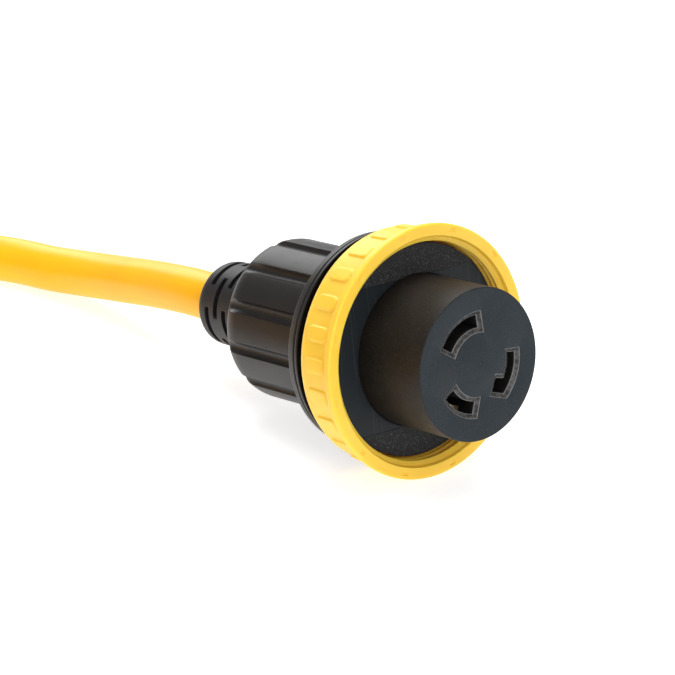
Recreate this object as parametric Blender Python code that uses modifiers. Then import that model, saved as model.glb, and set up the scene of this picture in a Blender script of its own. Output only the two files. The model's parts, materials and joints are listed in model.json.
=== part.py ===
"""Shore power cord: a 30 A locking connector with a threaded coupling ring, its cord and the inlet-end plug.

The connector is designed in its own axis frame, Z along the connector's axis with the mating face at
Z = 0 and the rest behind it, X upwards and Y to the right of someone looking along Z from behind. One
empty carries that frame into the world, where the connector lies nose-up on its coupling ring and the
cord lies on the floor Z = 0.
"""

import math

import bmesh
import bpy
import numpy as np
from mathutils import Matrix, Vector

MM = 0.001
GAP = 0.3 * MM
SEGMENTS = 48

# The nose that goes into the inlet
NOSE_R = 22.25 * MM
NOSE_TAIL_R = 19.8 * MM
NOSE_STEP = -47.0 * MM
NOSE_END = -58.0 * MM
NOSE_EDGE = 0.9 * MM

# Contact slots in the face: centre bearings, seen from the front, anticlockwise from the right
SLOT_BEARINGS = {"hot": 116.0, "neutral": 233.0, "ground": 336.0}
SLOT_SPANS = {"hot": 58.0, "neutral": 50.0, "ground": 48.0}
SLOT_IN = 10.7 * MM
SLOT_OUT = 14.4 * MM
LEAD_IN = 1.1 * MM
LEAD_DEPTH = 1.0 * MM
TAB_IN = 7.7 * MM

# Face gasket, collar and thrust washer behind the coupling ring's thread
GASKET_FRONT = -26.0 * MM
GASKET_R = 31.3 * MM
GASKET_THICK = 2.3 * MM
COLLAR_FLANGE_R = 31.0 * MM
COLLAR_FLANGE = 3.2 * MM
COLLAR_HUB_R = 28.7 * MM
WASHER_THICK = 1.2 * MM
WASHER_R = 32.6 * MM

# Screws through the collar into the shell
COLLAR_SCREW_R = 25.6 * MM
COLLAR_SCREW_TURNS = (30.0, 150.0, 270.0)
COLLAR_HOLE_R = 1.6 * MM
COLLAR_SHANK_R = 1.3 * MM
COLLAR_POCKET_R = 2.9 * MM
COLLAR_HEAD_R = 2.6 * MM

# Coupling ring
RING_FRONT = -21.2 * MM
RING_BACK = -37.2 * MM
RING_LIP_R = 37.4 * MM
LIP_ROUND = 1.4 * MM
RING_BODY_R = 35.0 * MM
RING_BACK_R = 34.3 * MM
THREAD_MAJOR_R = 33.3 * MM
THREAD_MINOR_R = 32.1 * MM
THREAD_PITCH = 2.1 * MM
THREAD_TURNS = 5
RING_WALL = 3.2 * MM
RING_BORE_R = 29.3 * MM
PADS = 24
PAD_BEARING = 9.0
PAD_SPAN = 6.0
PAD_RISE = 0.9 * MM
PAD_ENDS = (-33.6 * MM, -24.6 * MM)
LIP_MARKS = 12

# Rear shell
SHELL_FRONT = -41.5 * MM
RIM_R = (32.5 * MM, 31.6 * MM)
RIM_THICK = 4.8 * MM
SHELL_R = 24.4 * MM
SHELL_BORE_R = 20.3 * MM
SHELL_END = -87.8 * MM
SHELL_WALL = 3.6 * MM
SHOULDER_R = 7.0 * MM
FLUTES = 12
FLUTE_BEARING = 6.3
FLUTE_R = 2.0 * MM
FLUTE_DEPTH = 1.7 * MM
FLUTE_END = -90.0 * MM

# Strain relief
RELIEF_R = (13.6 * MM, 12.8 * MM)
RELIEF_END = -114.5 * MM
RELIEF_ROUND = 4.0 * MM
RELIEF_FLANGE_R = 17.0 * MM
RELIEF_SLOTS = 4
RELIEF_ROWS = (-108.6 * MM, -104.4 * MM, -100.2 * MM, -96.0 * MM)
RELIEF_SLOT_SPAN = 56.0
RELIEF_SLOT_WIDTH = 1.7 * MM
RELIEF_SLOT_DEPTH = 2.6 * MM
RELIEF_BEARING = 108.0

# Cord clamp inside the shell
CLAMP_ENDS = (-79.0 * MM, -70.0 * MM)
CLAMP_R = 17.5 * MM
CLAMP_SCREW_Y = 12.0 * MM

# Cord
CORD_D = 15.0 * MM
CORD_R = CORD_D / 2
CORE_R = 2.4 * MM
CORE_PITCH_R = 4.0 * MM
JACKET_END = -67.0 * MM
JACKET_STOP = -107.0 * MM

# How the connector lies: nose up, so that the coupling ring's lip and its pads' rear ends touch the floor
TILT = math.radians(8.0)
LIP_DROP = RING_LIP_R * math.cos(TILT) - (RING_FRONT - LIP_ROUND) * math.sin(TILT)
FACE_HEIGHT = LIP_DROP
TAIL_REACH = (RELIEF_R[1] - RELIEF_ROUND) * math.sin(TILT) - RELIEF_END * math.cos(TILT)
FACE_REACH = (NOSE_R - NOSE_EDGE) * math.sin(TILT)
FACE_X = (TAIL_REACH - FACE_REACH) / 2

# The put-away coil: columns of turns side by side, layers on top of each other, and a crown row
COIL_CENTRE = (-99.0 * MM, -200.0 * MM)
COIL_R = 81.0 * MM
COLUMNS = 4
LAYERS = 3
CROWN_RISE = 13.0 * MM
CROWN_HALF = 22.0 * MM
TIE_WIDTH = 20.0 * MM
TIE_THICK = 1.4 * MM
TIE_CLEAR = 0.4 * MM
TIE_BOW = 2.0 * MM
TIE_BEARINGS = (20.0, 85.0, 300.0)
COIL_IN = COIL_R - COLUMNS * CORD_R
COIL_OUT = COIL_R + COLUMNS * CORD_R
COIL_BOTTOM = TIE_THICK + TIE_CLEAR + 0.1 * MM
COIL_TOP = COIL_BOTTOM + LAYERS * CORD_D
CROWN_TOP = COIL_TOP + CROWN_RISE
COIL_EDGE = 3.0 * MM

# The plug on the far end, which lies on the coil
PLUG_R = 22.0 * MM
PLUG_LENGTH = 44.0 * MM
PLUG_SHOULDER = 8.0 * MM
PLUG_NECK_R = 12.5 * MM
PLUG_NECK = 26.0 * MM
PLUG_INSERT_R = 17.5 * MM
PLUG_INSERT = 6.0 * MM
PLUG_HEADING = 290.0
PLUG_HEIGHT = CROWN_TOP + PLUG_R + GAP
PLUG_LEAD = 10.0 * MM
BLADE = (1.6 * MM, 7.9 * MM, 21.0 * MM)
BLADE_OFF = 9.5 * MM
BLADE_LEAN = 45.0
PIN_R = 2.4 * MM
PIN_OFF = 9.0 * MM

# The cord's last bend: it leaves the crown, rises and tightens a little before it runs into the plug
RISE_BEARING = 92.0
BEND_BEARING = 150.0
BEND_R = 66.0 * MM
BEND_CENTRE = (
    COIL_CENTRE[0] + (COIL_R - BEND_R) * math.cos(math.radians(BEND_BEARING)),
    COIL_CENTRE[1] + (COIL_R - BEND_R) * math.sin(math.radians(BEND_BEARING)),
)
TAIL_BEARINGS = (144.0, 155.0, 166.0, 177.0, 188.0, PLUG_HEADING - 90.0)

MATERIALS = {
    "black_nylon": ((0.030, 0.032, 0.034), 0.45, 0.0),
    "black_rubber": ((0.020, 0.021, 0.022), 0.75, 0.0),
    "yellow_nylon": ((0.92, 0.62, 0.10), 0.35, 0.0),
    "yellow_jacket": ((0.95, 0.50, 0.03), 0.40, 0.0),
    "brass": ((0.72, 0.53, 0.25), 0.30, 1.0),
    "steel": ((0.60, 0.61, 0.62), 0.30, 1.0),
    "black_core": ((0.02, 0.02, 0.02), 0.5, 0.0),
    "white_core": ((0.80, 0.80, 0.78), 0.5, 0.0),
    "green_core": ((0.05, 0.35, 0.10), 0.5, 0.0),
    "hook_and_loop": ((0.03, 0.03, 0.03), 0.9, 0.0),
}


def clear_scene():
    for item in list(bpy.data.objects):
        bpy.data.objects.remove(item, do_unlink=True)


def collection(name, hidden=False):
    made = bpy.data.collections.new(name)
    made.hide_render = hidden
    bpy.context.scene.collection.children.link(made)
    return made


def material(name):
    """The Principled material of this name, made once."""
    found = bpy.data.materials.get(name)
    if found:
        return found
    colour, roughness, metallic = MATERIALS[name]
    made = bpy.data.materials.new(name)
    made.use_nodes = True
    shader = made.node_tree.nodes["Principled BSDF"]
    shader.inputs["Base Color"].default_value = (*colour, 1.0)
    shader.inputs["Roughness"].default_value = roughness
    shader.inputs["Metallic"].default_value = metallic
    made.diffuse_color = (*colour, 1.0)
    return made


def place(item, name, finish, parent):
    """Names the object, gives it its material and puts it under its parent in the right collection."""
    item.name = name
    item.data.name = name
    item.parent = parent
    if finish is None:
        CUTTERS.objects.link(item)
        item.hide_render = True
        item.display_type = "WIRE"
        return item
    PARTS.objects.link(item)
    item.data.materials.append(material(finish))
    return item


def from_bmesh(shape, name, finish, parent):
    data = bpy.data.meshes.new(name)
    bmesh.ops.recalc_face_normals(shape, faces=shape.faces)
    shape.to_mesh(data)
    shape.free()
    return place(bpy.data.objects.new(name, data), name, finish, parent)


def smooth(item, angle=35.0):
    item.data.shade_smooth()
    item.data.set_sharp_from_angle(angle=math.radians(angle))
    return item


def turned(name, outline, finish, parent, steps=SEGMENTS):
    """A closed ring turned about the parent's Z. The outline is (radius, height), outer side top to bottom."""
    data = bpy.data.meshes.new(name)
    corners = [(radius, 0.0, height) for radius, height in outline]
    edges = [(i, (i + 1) % len(corners)) for i in range(len(corners))]
    on_axis = [i for i, (radius, _, _) in enumerate(corners) if radius == 0.0]
    if on_axis:
        edges = [e for e in edges if not (e[0] in on_axis and e[1] in on_axis)]
    data.from_pydata(corners, edges, [])
    item = place(bpy.data.objects.new(name, data), name, finish, parent)
    screw = item.modifiers.new("turn", "SCREW")
    screw.steps = steps
    screw.render_steps = steps
    screw.use_merge_vertices = True
    screw.merge_threshold = 0.00001
    screw.use_smooth_shade = True
    return item


def bent_box(name, radii, heights, bearing, span, finish, parent, cuts=6, flare=0.0):
    """A box bent about the parent's Z: radii, heights and a span of bearings. Its top may flare outwards."""
    shape = bmesh.new()
    add_bent_box(shape, radii, heights, bearing, span, cuts, flare)
    return from_bmesh(shape, name, finish, parent)


def add_bent_box(shape, radii, heights, bearing, span, cuts=6, flare=0.0):
    """Adds such a bent box to a shape: a cube cut across its length, then wrapped round Z."""
    for corner in shape.verts:
        corner.tag = True
    bmesh.ops.create_cube(shape, size=1.0)
    along = [
        edge
        for edge in shape.edges
        if not edge.verts[0].tag and abs(edge.verts[0].co.y - edge.verts[1].co.y) > 0.5
    ]
    bmesh.ops.subdivide_edges(shape, edges=along, cuts=cuts, use_grid_fill=True)
    middle = sum(radii) / 2
    for corner in shape.verts:
        if corner.tag:
            continue
        x, y, z = corner.co
        wide = flare if z > 0 else 0.0
        radius = middle + x * (radii[1] - radii[0] + 2 * wide)
        turn = math.radians(bearing + y * (span + math.degrees(2 * wide / middle)))
        height = heights[0] + (z + 0.5) * (heights[1] - heights[0])
        corner.co = (radius * math.cos(turn), radius * math.sin(turn), height)


def add_rod(shape, radius, ends, offset=(0.0, 0.0), segments=16, turn=None):
    """A cylinder along Z between two heights, off the axis, then turned by a matrix if one is given."""
    length = ends[1] - ends[0]
    where = Matrix.Translation((offset[0], offset[1], (ends[0] + ends[1]) / 2))
    bmesh.ops.create_cone(
        shape,
        cap_ends=True,
        segments=segments,
        radius1=radius,
        radius2=radius,
        depth=length,
        matrix=turn @ where if turn else where,
    )


def cut(item, cutter, solver="EXACT", operation="DIFFERENCE"):
    boolean = item.modifiers.new(operation.lower(), "BOOLEAN")
    boolean.operation = operation
    boolean.solver = solver
    boolean.object = cutter
    return item


def local(bearing):
    """A bearing seen from the front, anticlockwise from the right, as an angle in the connector's frame."""
    return bearing - 90.0


def polar(radius, degrees):
    return radius * math.cos(math.radians(degrees)), radius * math.sin(math.radians(degrees))


def arc(centre, radius, start, end, count=6):
    """Points of an arc in an outline, from one angle to another in degrees."""
    turns = np.radians(np.linspace(start, end, count))
    return [(centre[0] + radius * math.cos(t), centre[1] + radius * math.sin(t)) for t in turns]


def contact_housing(frame):
    """The nose: a solid moulding with three slots right through it for the contacts."""
    body = turned(
        "contact_housing",
        [
            (0.0, 0.0),
            (NOSE_R - NOSE_EDGE, 0.0),
            (NOSE_R - 0.3 * NOSE_EDGE, -0.3 * NOSE_EDGE),
            (NOSE_R, -NOSE_EDGE),
            (NOSE_R, NOSE_STEP),
            (NOSE_TAIL_R, NOSE_STEP),
            (NOSE_TAIL_R, NOSE_END),
            (0.0, NOSE_END),
        ],
        "black_nylon",
        frame,
    )
    through = (NOSE_END - 5 * MM, 1 * MM)
    mouth = (-LEAD_DEPTH, 0.6 * MM)
    slots = bmesh.new()
    mouths = bmesh.new()
    for name, bearing in SLOT_BEARINGS.items():
        span = SLOT_SPANS[name]
        add_bent_box(slots, (SLOT_IN, SLOT_OUT), through, local(bearing), span)
        add_bent_box(mouths, (SLOT_IN, SLOT_OUT), mouth, local(bearing), span, flare=LEAD_IN)
    tab = bmesh.new()
    lower = local(SLOT_BEARINGS["ground"] - SLOT_SPANS["ground"] / 2 + 14.0)
    add_bent_box(tab, (TAB_IN, SLOT_IN + 0.4 * MM), (-24 * MM, 1 * MM), lower, 28.0, cuts=2)
    for name, shape in (("slot_cutter", slots), ("mouth_cutter", mouths), ("tab_cutter", tab)):
        cut(body, from_bmesh(shape, name, None, frame))
    return body


def contact(name, frame):
    """One brass contact: a curved blade grip in its slot and a terminal block behind the housing."""
    bearing = local(SLOT_BEARINGS[name])
    span = SLOT_SPANS[name] - 8.0
    grip = bent_box(
        f"{name}_contact",
        (SLOT_OUT - GAP - 1.2 * MM, SLOT_OUT - GAP),
        (NOSE_END - 3 * MM, -6 * MM),
        bearing,
        span,
        "brass",
        frame,
    )
    block = bmesh.new()
    add_bent_box(
        block, (SLOT_IN + 0.2 * MM, SLOT_OUT), (NOSE_END - 7 * MM, NOSE_END - 1 * MM), bearing, span
    )
    return cut(grip, from_bmesh(block, f"{name}_block", None, frame), operation="UNION")


def terminal_screw(name, frame):
    """The screw that clamps a conductor: it goes into its terminal block from the side."""
    bearing = local(SLOT_BEARINGS[name])
    x, y = polar(1.0, bearing)
    height = NOSE_END - 4 * MM
    outwards = Vector((x, y, 0.0)).to_track_quat("Z", "X").to_matrix().to_4x4()
    turn = Matrix.Translation((0.0, 0.0, height)) @ outwards
    shape = bmesh.new()
    add_rod(shape, 2.3 * MM, (SLOT_OUT + GAP, SLOT_OUT + 2.0 * MM), segments=16, turn=turn)
    return smooth(from_bmesh(shape, f"{name}_terminal_screw", "steel", frame))


def face_gasket(frame):
    back = GASKET_FRONT - GASKET_THICK
    return turned(
        "face_gasket",
        [
            (GASKET_R, GASKET_FRONT),
            (GASKET_R, back),
            (NOSE_R + GAP, back),
            (NOSE_R + GAP, GASKET_FRONT),
        ],
        "black_rubber",
        frame,
    )


def front_collar(frame):
    """The flange that the coupling ring pulls on, and the hub that it turns on."""
    front = GASKET_FRONT - GASKET_THICK - GAP
    step = front - COLLAR_FLANGE
    back = SHELL_FRONT + GAP
    body = turned(
        "front_collar",
        [
            (COLLAR_FLANGE_R, front),
            (COLLAR_FLANGE_R, step),
            (COLLAR_HUB_R, step),
            (COLLAR_HUB_R, back),
            (NOSE_R + GAP, back),
            (NOSE_R + GAP, front),
        ],
        "black_nylon",
        frame,
    )
    holes = bmesh.new()
    pockets = bmesh.new()
    for turn in COLLAR_SCREW_TURNS:
        spot = polar(COLLAR_SCREW_R, turn)
        add_rod(holes, COLLAR_HOLE_R, (back - 2 * MM, front + 2 * MM), spot)
        add_rod(pockets, COLLAR_POCKET_R, (front - 2.2 * MM, front + 2 * MM), spot)
    cut(body, from_bmesh(holes, "collar_holes", None, frame))
    return cut(body, from_bmesh(pockets, "collar_pockets", None, frame))


def collar_screw(index, frame):
    """Holds the collar and the nose to the rear shell, with its head under the gasket."""
    front = GASKET_FRONT - GASKET_THICK - 2 * GAP
    spot = polar(COLLAR_SCREW_R, COLLAR_SCREW_TURNS[index])
    head = front - 1.8 * MM
    shape = bmesh.new()
    add_rod(shape, COLLAR_HEAD_R, (head, front), spot)
    item = from_bmesh(shape, f"collar_screw_{index + 1}", "steel", frame)
    shank = bmesh.new()
    add_rod(shank, COLLAR_SHANK_R, (SHELL_FRONT - 3.6 * MM, head + 0.4 * MM), spot, segments=12)
    cut(item, from_bmesh(shank, f"collar_shank_{index + 1}", None, frame), operation="UNION")
    return smooth(item)


def thrust_washer(carriage):
    front = RING_BACK - GAP
    return turned(
        "thrust_washer",
        [
            (WASHER_R, front),
            (WASHER_R, front - WASHER_THICK),
            (RING_BORE_R, front - WASHER_THICK),
            (RING_BORE_R, front),
        ],
        "black_rubber",
        carriage,
    )


def thread_outline():
    """The ring's inside from back to front: a groove at the root of each turn between two crests."""
    start = RING_FRONT - 2.2 * MM - THREAD_TURNS * THREAD_PITCH
    points = [(THREAD_MINOR_R, start)]
    for k in range(THREAD_TURNS):
        low = start + k * THREAD_PITCH
        points.append((THREAD_MAJOR_R, low + 0.4 * THREAD_PITCH))
        points.append((THREAD_MAJOR_R, low + 0.6 * THREAD_PITCH))
        points.append((THREAD_MINOR_R, low + THREAD_PITCH))
    return points


def locking_ring(carriage):
    """The yellow coupling ring: a threaded cup that is open at the front and hooks behind the collar."""
    outline = [
        (RING_LIP_R - 0.9 * MM, RING_FRONT),
        (RING_LIP_R - 0.2 * MM, RING_FRONT - 0.5 * MM),
        (RING_LIP_R, RING_FRONT - LIP_ROUND),
        (RING_LIP_R - 0.5 * MM, RING_FRONT - 2.6 * MM),
        (RING_BODY_R + 0.3 * MM, RING_FRONT - 4.4 * MM),
        (RING_BODY_R - 0.2 * MM, RING_BACK + 1.6 * MM),
        (RING_BACK_R, RING_BACK),
        (RING_BORE_R, RING_BACK),
        (RING_BORE_R, RING_BACK + RING_WALL),
    ]
    inner_back = (THREAD_MINOR_R, RING_BACK + RING_WALL)
    outline += [inner_back] + thread_outline()
    outline += [(THREAD_MAJOR_R + 0.3 * MM, RING_FRONT - 1.2 * MM), (THREAD_MAJOR_R + 0.9 * MM, RING_FRONT)]
    body = turned("locking_ring", outline, "yellow_nylon", carriage)
    pads = bmesh.new()
    for k in range(PADS):
        bearing = local(PAD_BEARING + k * 360.0 / PADS)
        add_bent_box(pads, (RING_BODY_R - 1 * MM, RING_BODY_R + PAD_RISE), PAD_ENDS, bearing, PAD_SPAN, 1)
    cut(body, from_bmesh(pads, "grip_pads", None, carriage), operation="UNION")
    marks = bmesh.new()
    for k in range(LIP_MARKS):
        bearing = local(PAD_BEARING + k * 360.0 / LIP_MARKS)
        add_bent_box(
            marks,
            (RING_LIP_R - 2.4 * MM, RING_LIP_R - 1.2 * MM),
            (RING_FRONT - 0.4 * MM, RING_FRONT + 1 * MM),
            bearing,
            4.0,
            1,
        )
    return cut(body, from_bmesh(marks, "lip_marks", None, carriage))


def rear_shell(frame):
    """The fluted rear cover. Its rim faces the ring and its rear wall holds the strain relief."""
    rim_back = SHELL_FRONT - RIM_THICK
    outline = [
        (RIM_R[0] - 0.5 * MM, SHELL_FRONT),
        (RIM_R[0], SHELL_FRONT - 0.6 * MM),
        (RIM_R[1], rim_back + 0.6 * MM),
        (RIM_R[1] - 0.6 * MM, rim_back),
        (SHELL_R + 1.2 * MM, rim_back),
        (SHELL_R, rim_back - 1.2 * MM),
    ]
    corner = (SHELL_R - SHOULDER_R, SHELL_END + SHOULDER_R)
    outline += arc(corner, SHOULDER_R, 0.0, -90.0, 5)
    outline += [
        (RELIEF_R[0] + GAP, SHELL_END),
        (RELIEF_R[0] + GAP, SHELL_END + SHELL_WALL),
        (SHELL_BORE_R - 2.8 * MM, SHELL_END + SHELL_WALL),
        (SHELL_BORE_R, SHELL_END + SHELL_WALL + 2.8 * MM),
        (SHELL_BORE_R, NOSE_STEP - GAP),
        (NOSE_R + GAP, NOSE_STEP - GAP),
        (NOSE_R + GAP, SHELL_FRONT),
    ]
    body = turned("rear_shell", outline, "black_nylon", frame, steps=SEGMENTS)
    flutes = bmesh.new()
    for k in range(FLUTES):
        spot = polar(SHELL_R + FLUTE_R - FLUTE_DEPTH, local(FLUTE_BEARING + k * 360.0 / FLUTES))
        add_rod(flutes, FLUTE_R, (FLUTE_END, rim_back - 0.9 * MM), spot, segments=12)
    cut(body, from_bmesh(flutes, "flute_cutter", None, frame))
    holes = bmesh.new()
    for turn in COLLAR_SCREW_TURNS:
        spot = polar(COLLAR_SCREW_R, turn)
        add_rod(holes, COLLAR_HOLE_R, (SHELL_FRONT - 3.9 * MM, SHELL_FRONT + 1 * MM), spot, segments=12)
    return cut(body, from_bmesh(holes, "shell_holes", None, frame))


def strain_relief(frame):
    """The rubber boot: a flange held inside the shell and a tail with staggered rows of slots."""
    inside = SHELL_END + SHELL_WALL + GAP
    rounding = (RELIEF_R[1] - RELIEF_ROUND, RELIEF_END + RELIEF_ROUND)
    outline = [
        (RELIEF_FLANGE_R - 2.0 * MM, inside + 4.2 * MM),
        (RELIEF_FLANGE_R - 1.6 * MM, inside),
        (RELIEF_R[0], inside),
    ]
    outline += arc(rounding, RELIEF_ROUND, 0.0, -90.0, 6)
    outline += [(CORD_R + GAP, RELIEF_END), (CORD_R + GAP, inside + 4.2 * MM)]
    body = turned("strain_relief", outline, "black_rubber", frame)
    slots = bmesh.new()
    depth = (RELIEF_R[1] - RELIEF_SLOT_DEPTH, RELIEF_R[0] + 2 * MM)
    for row, height in enumerate(RELIEF_ROWS):
        ends = (height - RELIEF_SLOT_WIDTH / 2, height + RELIEF_SLOT_WIDTH / 2)
        for k in range(RELIEF_SLOTS):
            bearing = local(RELIEF_BEARING + (k + (row % 2) / 2) * 360.0 / RELIEF_SLOTS)
            add_bent_box(slots, depth, ends, bearing, RELIEF_SLOT_SPAN, 5)
    return cut(body, from_bmesh(slots, "relief_slots", None, frame))


def clamp_half(name, side, frame):
    """Half of the cord clamp: a half ring round the jacket with a screw hole through each ear."""
    body = bent_box(
        name,
        (CORD_R + GAP, CLAMP_R),
        CLAMP_ENDS,
        0.0 if side > 0 else 180.0,
        172.0,
        "black_nylon",
        frame,
        cuts=10,
    )
    holes = bmesh.new()
    upright = Matrix.Translation((0.0, 0.0, sum(CLAMP_ENDS) / 2)) @ Matrix.Rotation(math.pi / 2, 4, "Y")
    for y in (-CLAMP_SCREW_Y, CLAMP_SCREW_Y):
        add_rod(holes, 1.8 * MM, (-20 * MM, 20 * MM), (0.0, y), segments=12, turn=upright)
    return cut(body, from_bmesh(holes, f"{name}_holes", None, frame))


def clamp_screw(index, frame):
    """A screw through both halves of the clamp, its head on the upper one."""
    y = (-CLAMP_SCREW_Y, CLAMP_SCREW_Y)[index]
    upright = Matrix.Translation((0.0, 0.0, sum(CLAMP_ENDS) / 2)) @ Matrix.Rotation(math.pi / 2, 4, "Y")
    shape = bmesh.new()
    add_rod(shape, 1.5 * MM, (-10.5 * MM, 13.4 * MM), (0.0, y), segments=12, turn=upright)
    return smooth(from_bmesh(shape, f"clamp_screw_{index + 1}", "steel", frame))


def jacket_end(frame):
    """The stretch of the cord's jacket that the clamp and the strain relief hold."""
    shape = bmesh.new()
    add_rod(shape, CORD_R, (JACKET_STOP, JACKET_END), segments=32)
    return smooth(from_bmesh(shape, "jacket_end", "yellow_jacket", frame))


def conductor(name, finish, frame):
    """An insulated conductor from the jacket's end to its terminal block."""
    bearing = local(SLOT_BEARINGS[name])
    radius = SLOT_IN - 2.2 * MM
    points = [
        (*polar(CORE_PITCH_R, bearing), JACKET_END + GAP),
        (*polar(CORE_PITCH_R, bearing), JACKET_END + 1.6 * MM),
        (*polar(radius - 0.8 * MM, bearing), NOSE_END - 4.5 * MM),
        (*polar(radius, bearing), NOSE_END - 1.5 * MM),
    ]
    data = bpy.data.curves.new(f"{name}_conductor", "CURVE")
    data.dimensions = "3D"
    data.bevel_depth = CORE_R - 0.3 * MM
    data.bevel_resolution = 2
    data.use_fill_caps = True
    spline = data.splines.new("POLY")
    spline.points.add(len(points) - 1)
    for target, point in zip(spline.points, points):
        target.co = (*point, 1.0)
    item = bpy.data.objects.new(f"{name}_conductor", data)
    return place(item, f"{name}_conductor", finish, frame)


def world_of(height, up=0.0):
    """World place of a point in the connector's mid plane."""
    x = FACE_X + height * math.cos(TILT) - up * math.sin(TILT)
    z = FACE_HEIGHT + height * math.sin(TILT) + up * math.cos(TILT)
    return x, 0.0, z


def route_points():
    """The cord from the strain relief to where it meets the coil, chosen by hand."""
    x, y, z = world_of(JACKET_STOP - GAP)
    return [
        (x, y, z),
        world_of(RELIEF_END - 4 * MM),
        (-75.4 * MM, -0.4 * MM, 22.3 * MM),
        (-93.8 * MM, 0.6 * MM, 18.7 * MM),
        (-110.0 * MM, 1.2 * MM, 15.1 * MM),
        (-123.5 * MM, 1.4 * MM, 12.2 * MM),
        (-137.0 * MM, 0.5 * MM, 9.7 * MM),
        (-149.0 * MM, -2.0 * MM, 8.3 * MM),
        (-161.6 * MM, -5.1 * MM, 7.7 * MM),
        (-173.3 * MM, -10.8 * MM, 7.6 * MM),
        (-183.5 * MM, -18.8 * MM, 7.6 * MM),
        (-191.8 * MM, -28.7 * MM, 7.6 * MM),
        (-197.9 * MM, -40.2 * MM, 7.6 * MM),
        (-201.5 * MM, -52.6 * MM, 7.6 * MM),
        (-202.5 * MM, -66.0 * MM, 7.6 * MM),
        (-202.5 * MM, -92.0 * MM, 8.0 * MM),
        (-202.5 * MM, -117.0 * MM, 8.8 * MM),
        (-202.5 * MM, -141.0 * MM, 9.4 * MM),
    ]


def smooth_route(points, step):
    """Catmull-Rom curve through the points, read about every step along it."""
    path = [Vector(p) for p in points]
    path = [2 * path[0] - path[1], *path, 2 * path[-1] - path[-2]]
    found = []
    for a, b, c, d in zip(path, path[1:], path[2:], path[3:]):
        count = max(1, round((c - b).length / step))
        for k in range(count):
            t = k / count
            found.append(
                0.5
                * (
                    2 * b
                    + (c - a) * t
                    + (2 * a - 5 * b + 4 * c - d) * t * t
                    + (3 * b - a - 3 * c + d) * t * t * t
                )
            )
    return [*found, path[-2]]


def tube(name, points, finish):
    """A piece of the cord as a swept tube."""
    data = bpy.data.curves.new(name, "CURVE")
    data.dimensions = "3D"
    data.bevel_depth = CORD_R
    data.bevel_resolution = 3
    data.use_fill_caps = True
    spline = data.splines.new("POLY")
    spline.points.add(len(points) - 1)
    for target, point in zip(spline.points, points):
        target.co = (*point, 1.0)
    return place(bpy.data.objects.new(name, data), name, finish, None)


def coil_frame():
    empty = bpy.data.objects.new("coil_frame", None)
    PARTS.objects.link(empty)
    empty.location = (*COIL_CENTRE, 0.0)
    return empty


def cord_coil(centre):
    """The outer shape of the put-away turns, with the crown turns along the middle of the top."""
    return turned(
        "cord_coil",
        [
            (COIL_R + CROWN_HALF, CROWN_TOP),
            (COIL_OUT - COIL_EDGE, COIL_TOP),
            (COIL_OUT, COIL_TOP - COIL_EDGE),
            (COIL_OUT, COIL_BOTTOM + COIL_EDGE),
            (COIL_OUT - COIL_EDGE, COIL_BOTTOM),
            (COIL_IN + COIL_EDGE, COIL_BOTTOM),
            (COIL_IN, COIL_BOTTOM + COIL_EDGE),
            (COIL_IN, COIL_TOP - COIL_EDGE),
            (COIL_IN + COIL_EDGE, COIL_TOP),
            (COIL_R - CROWN_HALF, CROWN_TOP),
        ],
        "yellow_jacket",
        centre,
    )


def coil_tie(index, centre):
    """A hook-and-loop strap round the coil's turns, as a closed band that clears the bundle."""
    wide = COIL_OUT - COIL_IN + 2 * TIE_CLEAR + TIE_BOW
    tall = CROWN_TOP - COIL_BOTTOM + 2 * TIE_CLEAR
    middle = (COIL_R, 0.0, (CROWN_TOP + COIL_BOTTOM) / 2)
    where = Matrix.Rotation(math.radians(TIE_BEARINGS[index]), 4, "Z") @ Matrix.Translation(middle)
    outer = bmesh.new()
    size = Matrix.Diagonal((wide + 2 * TIE_THICK, TIE_WIDTH, tall + 2 * TIE_THICK, 1.0))
    bmesh.ops.create_cube(outer, size=1.0, matrix=where @ size)
    band = from_bmesh(outer, f"coil_tie_{index + 1}", "hook_and_loop", centre)
    inner = bmesh.new()
    size = Matrix.Diagonal((wide, 2 * TIE_WIDTH, tall, 1.0))
    bmesh.ops.create_cube(inner, size=1.0, matrix=where @ size)
    return cut(band, from_bmesh(inner, f"tie_hole_{index + 1}", None, centre))


def last_bend(bearing):
    """World place of the cord's middle on its last bend, at a bearing about that bend's centre."""
    centre, radius = (COIL_CENTRE, COIL_R) if bearing < BEND_BEARING else (BEND_CENTRE, BEND_R)
    x, y = polar(radius, bearing)
    wide = COIL_R * (BEND_BEARING - RISE_BEARING)
    whole = wide + BEND_R * (PLUG_HEADING - 90.0 - BEND_BEARING)
    done = min(wide, COIL_R * (bearing - RISE_BEARING)) + max(0.0, BEND_R * (bearing - BEND_BEARING))
    share = done / whole
    low = CROWN_TOP - CORD_R
    return centre[0] + x, centre[1] + y, low + (PLUG_HEIGHT - low) * share * share * (3 - 2 * share)


def tail_points():
    """The cord's last stretch, from where it clears the crown to the plug, in world places."""
    rear = plug_place(-PLUG_LENGTH - PLUG_NECK - GAP)
    return [*(last_bend(bearing) for bearing in TAIL_BEARINGS), rear]


def plug_place(along):
    """World place of a point on the plug's axis, measured forwards from its face."""
    x, y = polar(BEND_R, PLUG_HEADING - 90.0)
    ahead = polar(PLUG_LEAD + PLUG_LENGTH + PLUG_NECK + along, PLUG_HEADING)
    return BEND_CENTRE[0] + x + ahead[0], BEND_CENTRE[1] + y + ahead[1], PLUG_HEIGHT


def plug_frame():
    """Z out of the plug's face, X upwards."""
    empty = bpy.data.objects.new("plug_axis", None)
    PARTS.objects.link(empty)
    along = Vector((*polar(1.0, PLUG_HEADING), 0.0))
    up = Vector((0.0, 0.0, 1.0))
    basis = Matrix((up, along.cross(up), along)).transposed().to_4x4()
    empty.matrix_world = Matrix.Translation(plug_place(0.0)) @ basis
    return empty


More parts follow.
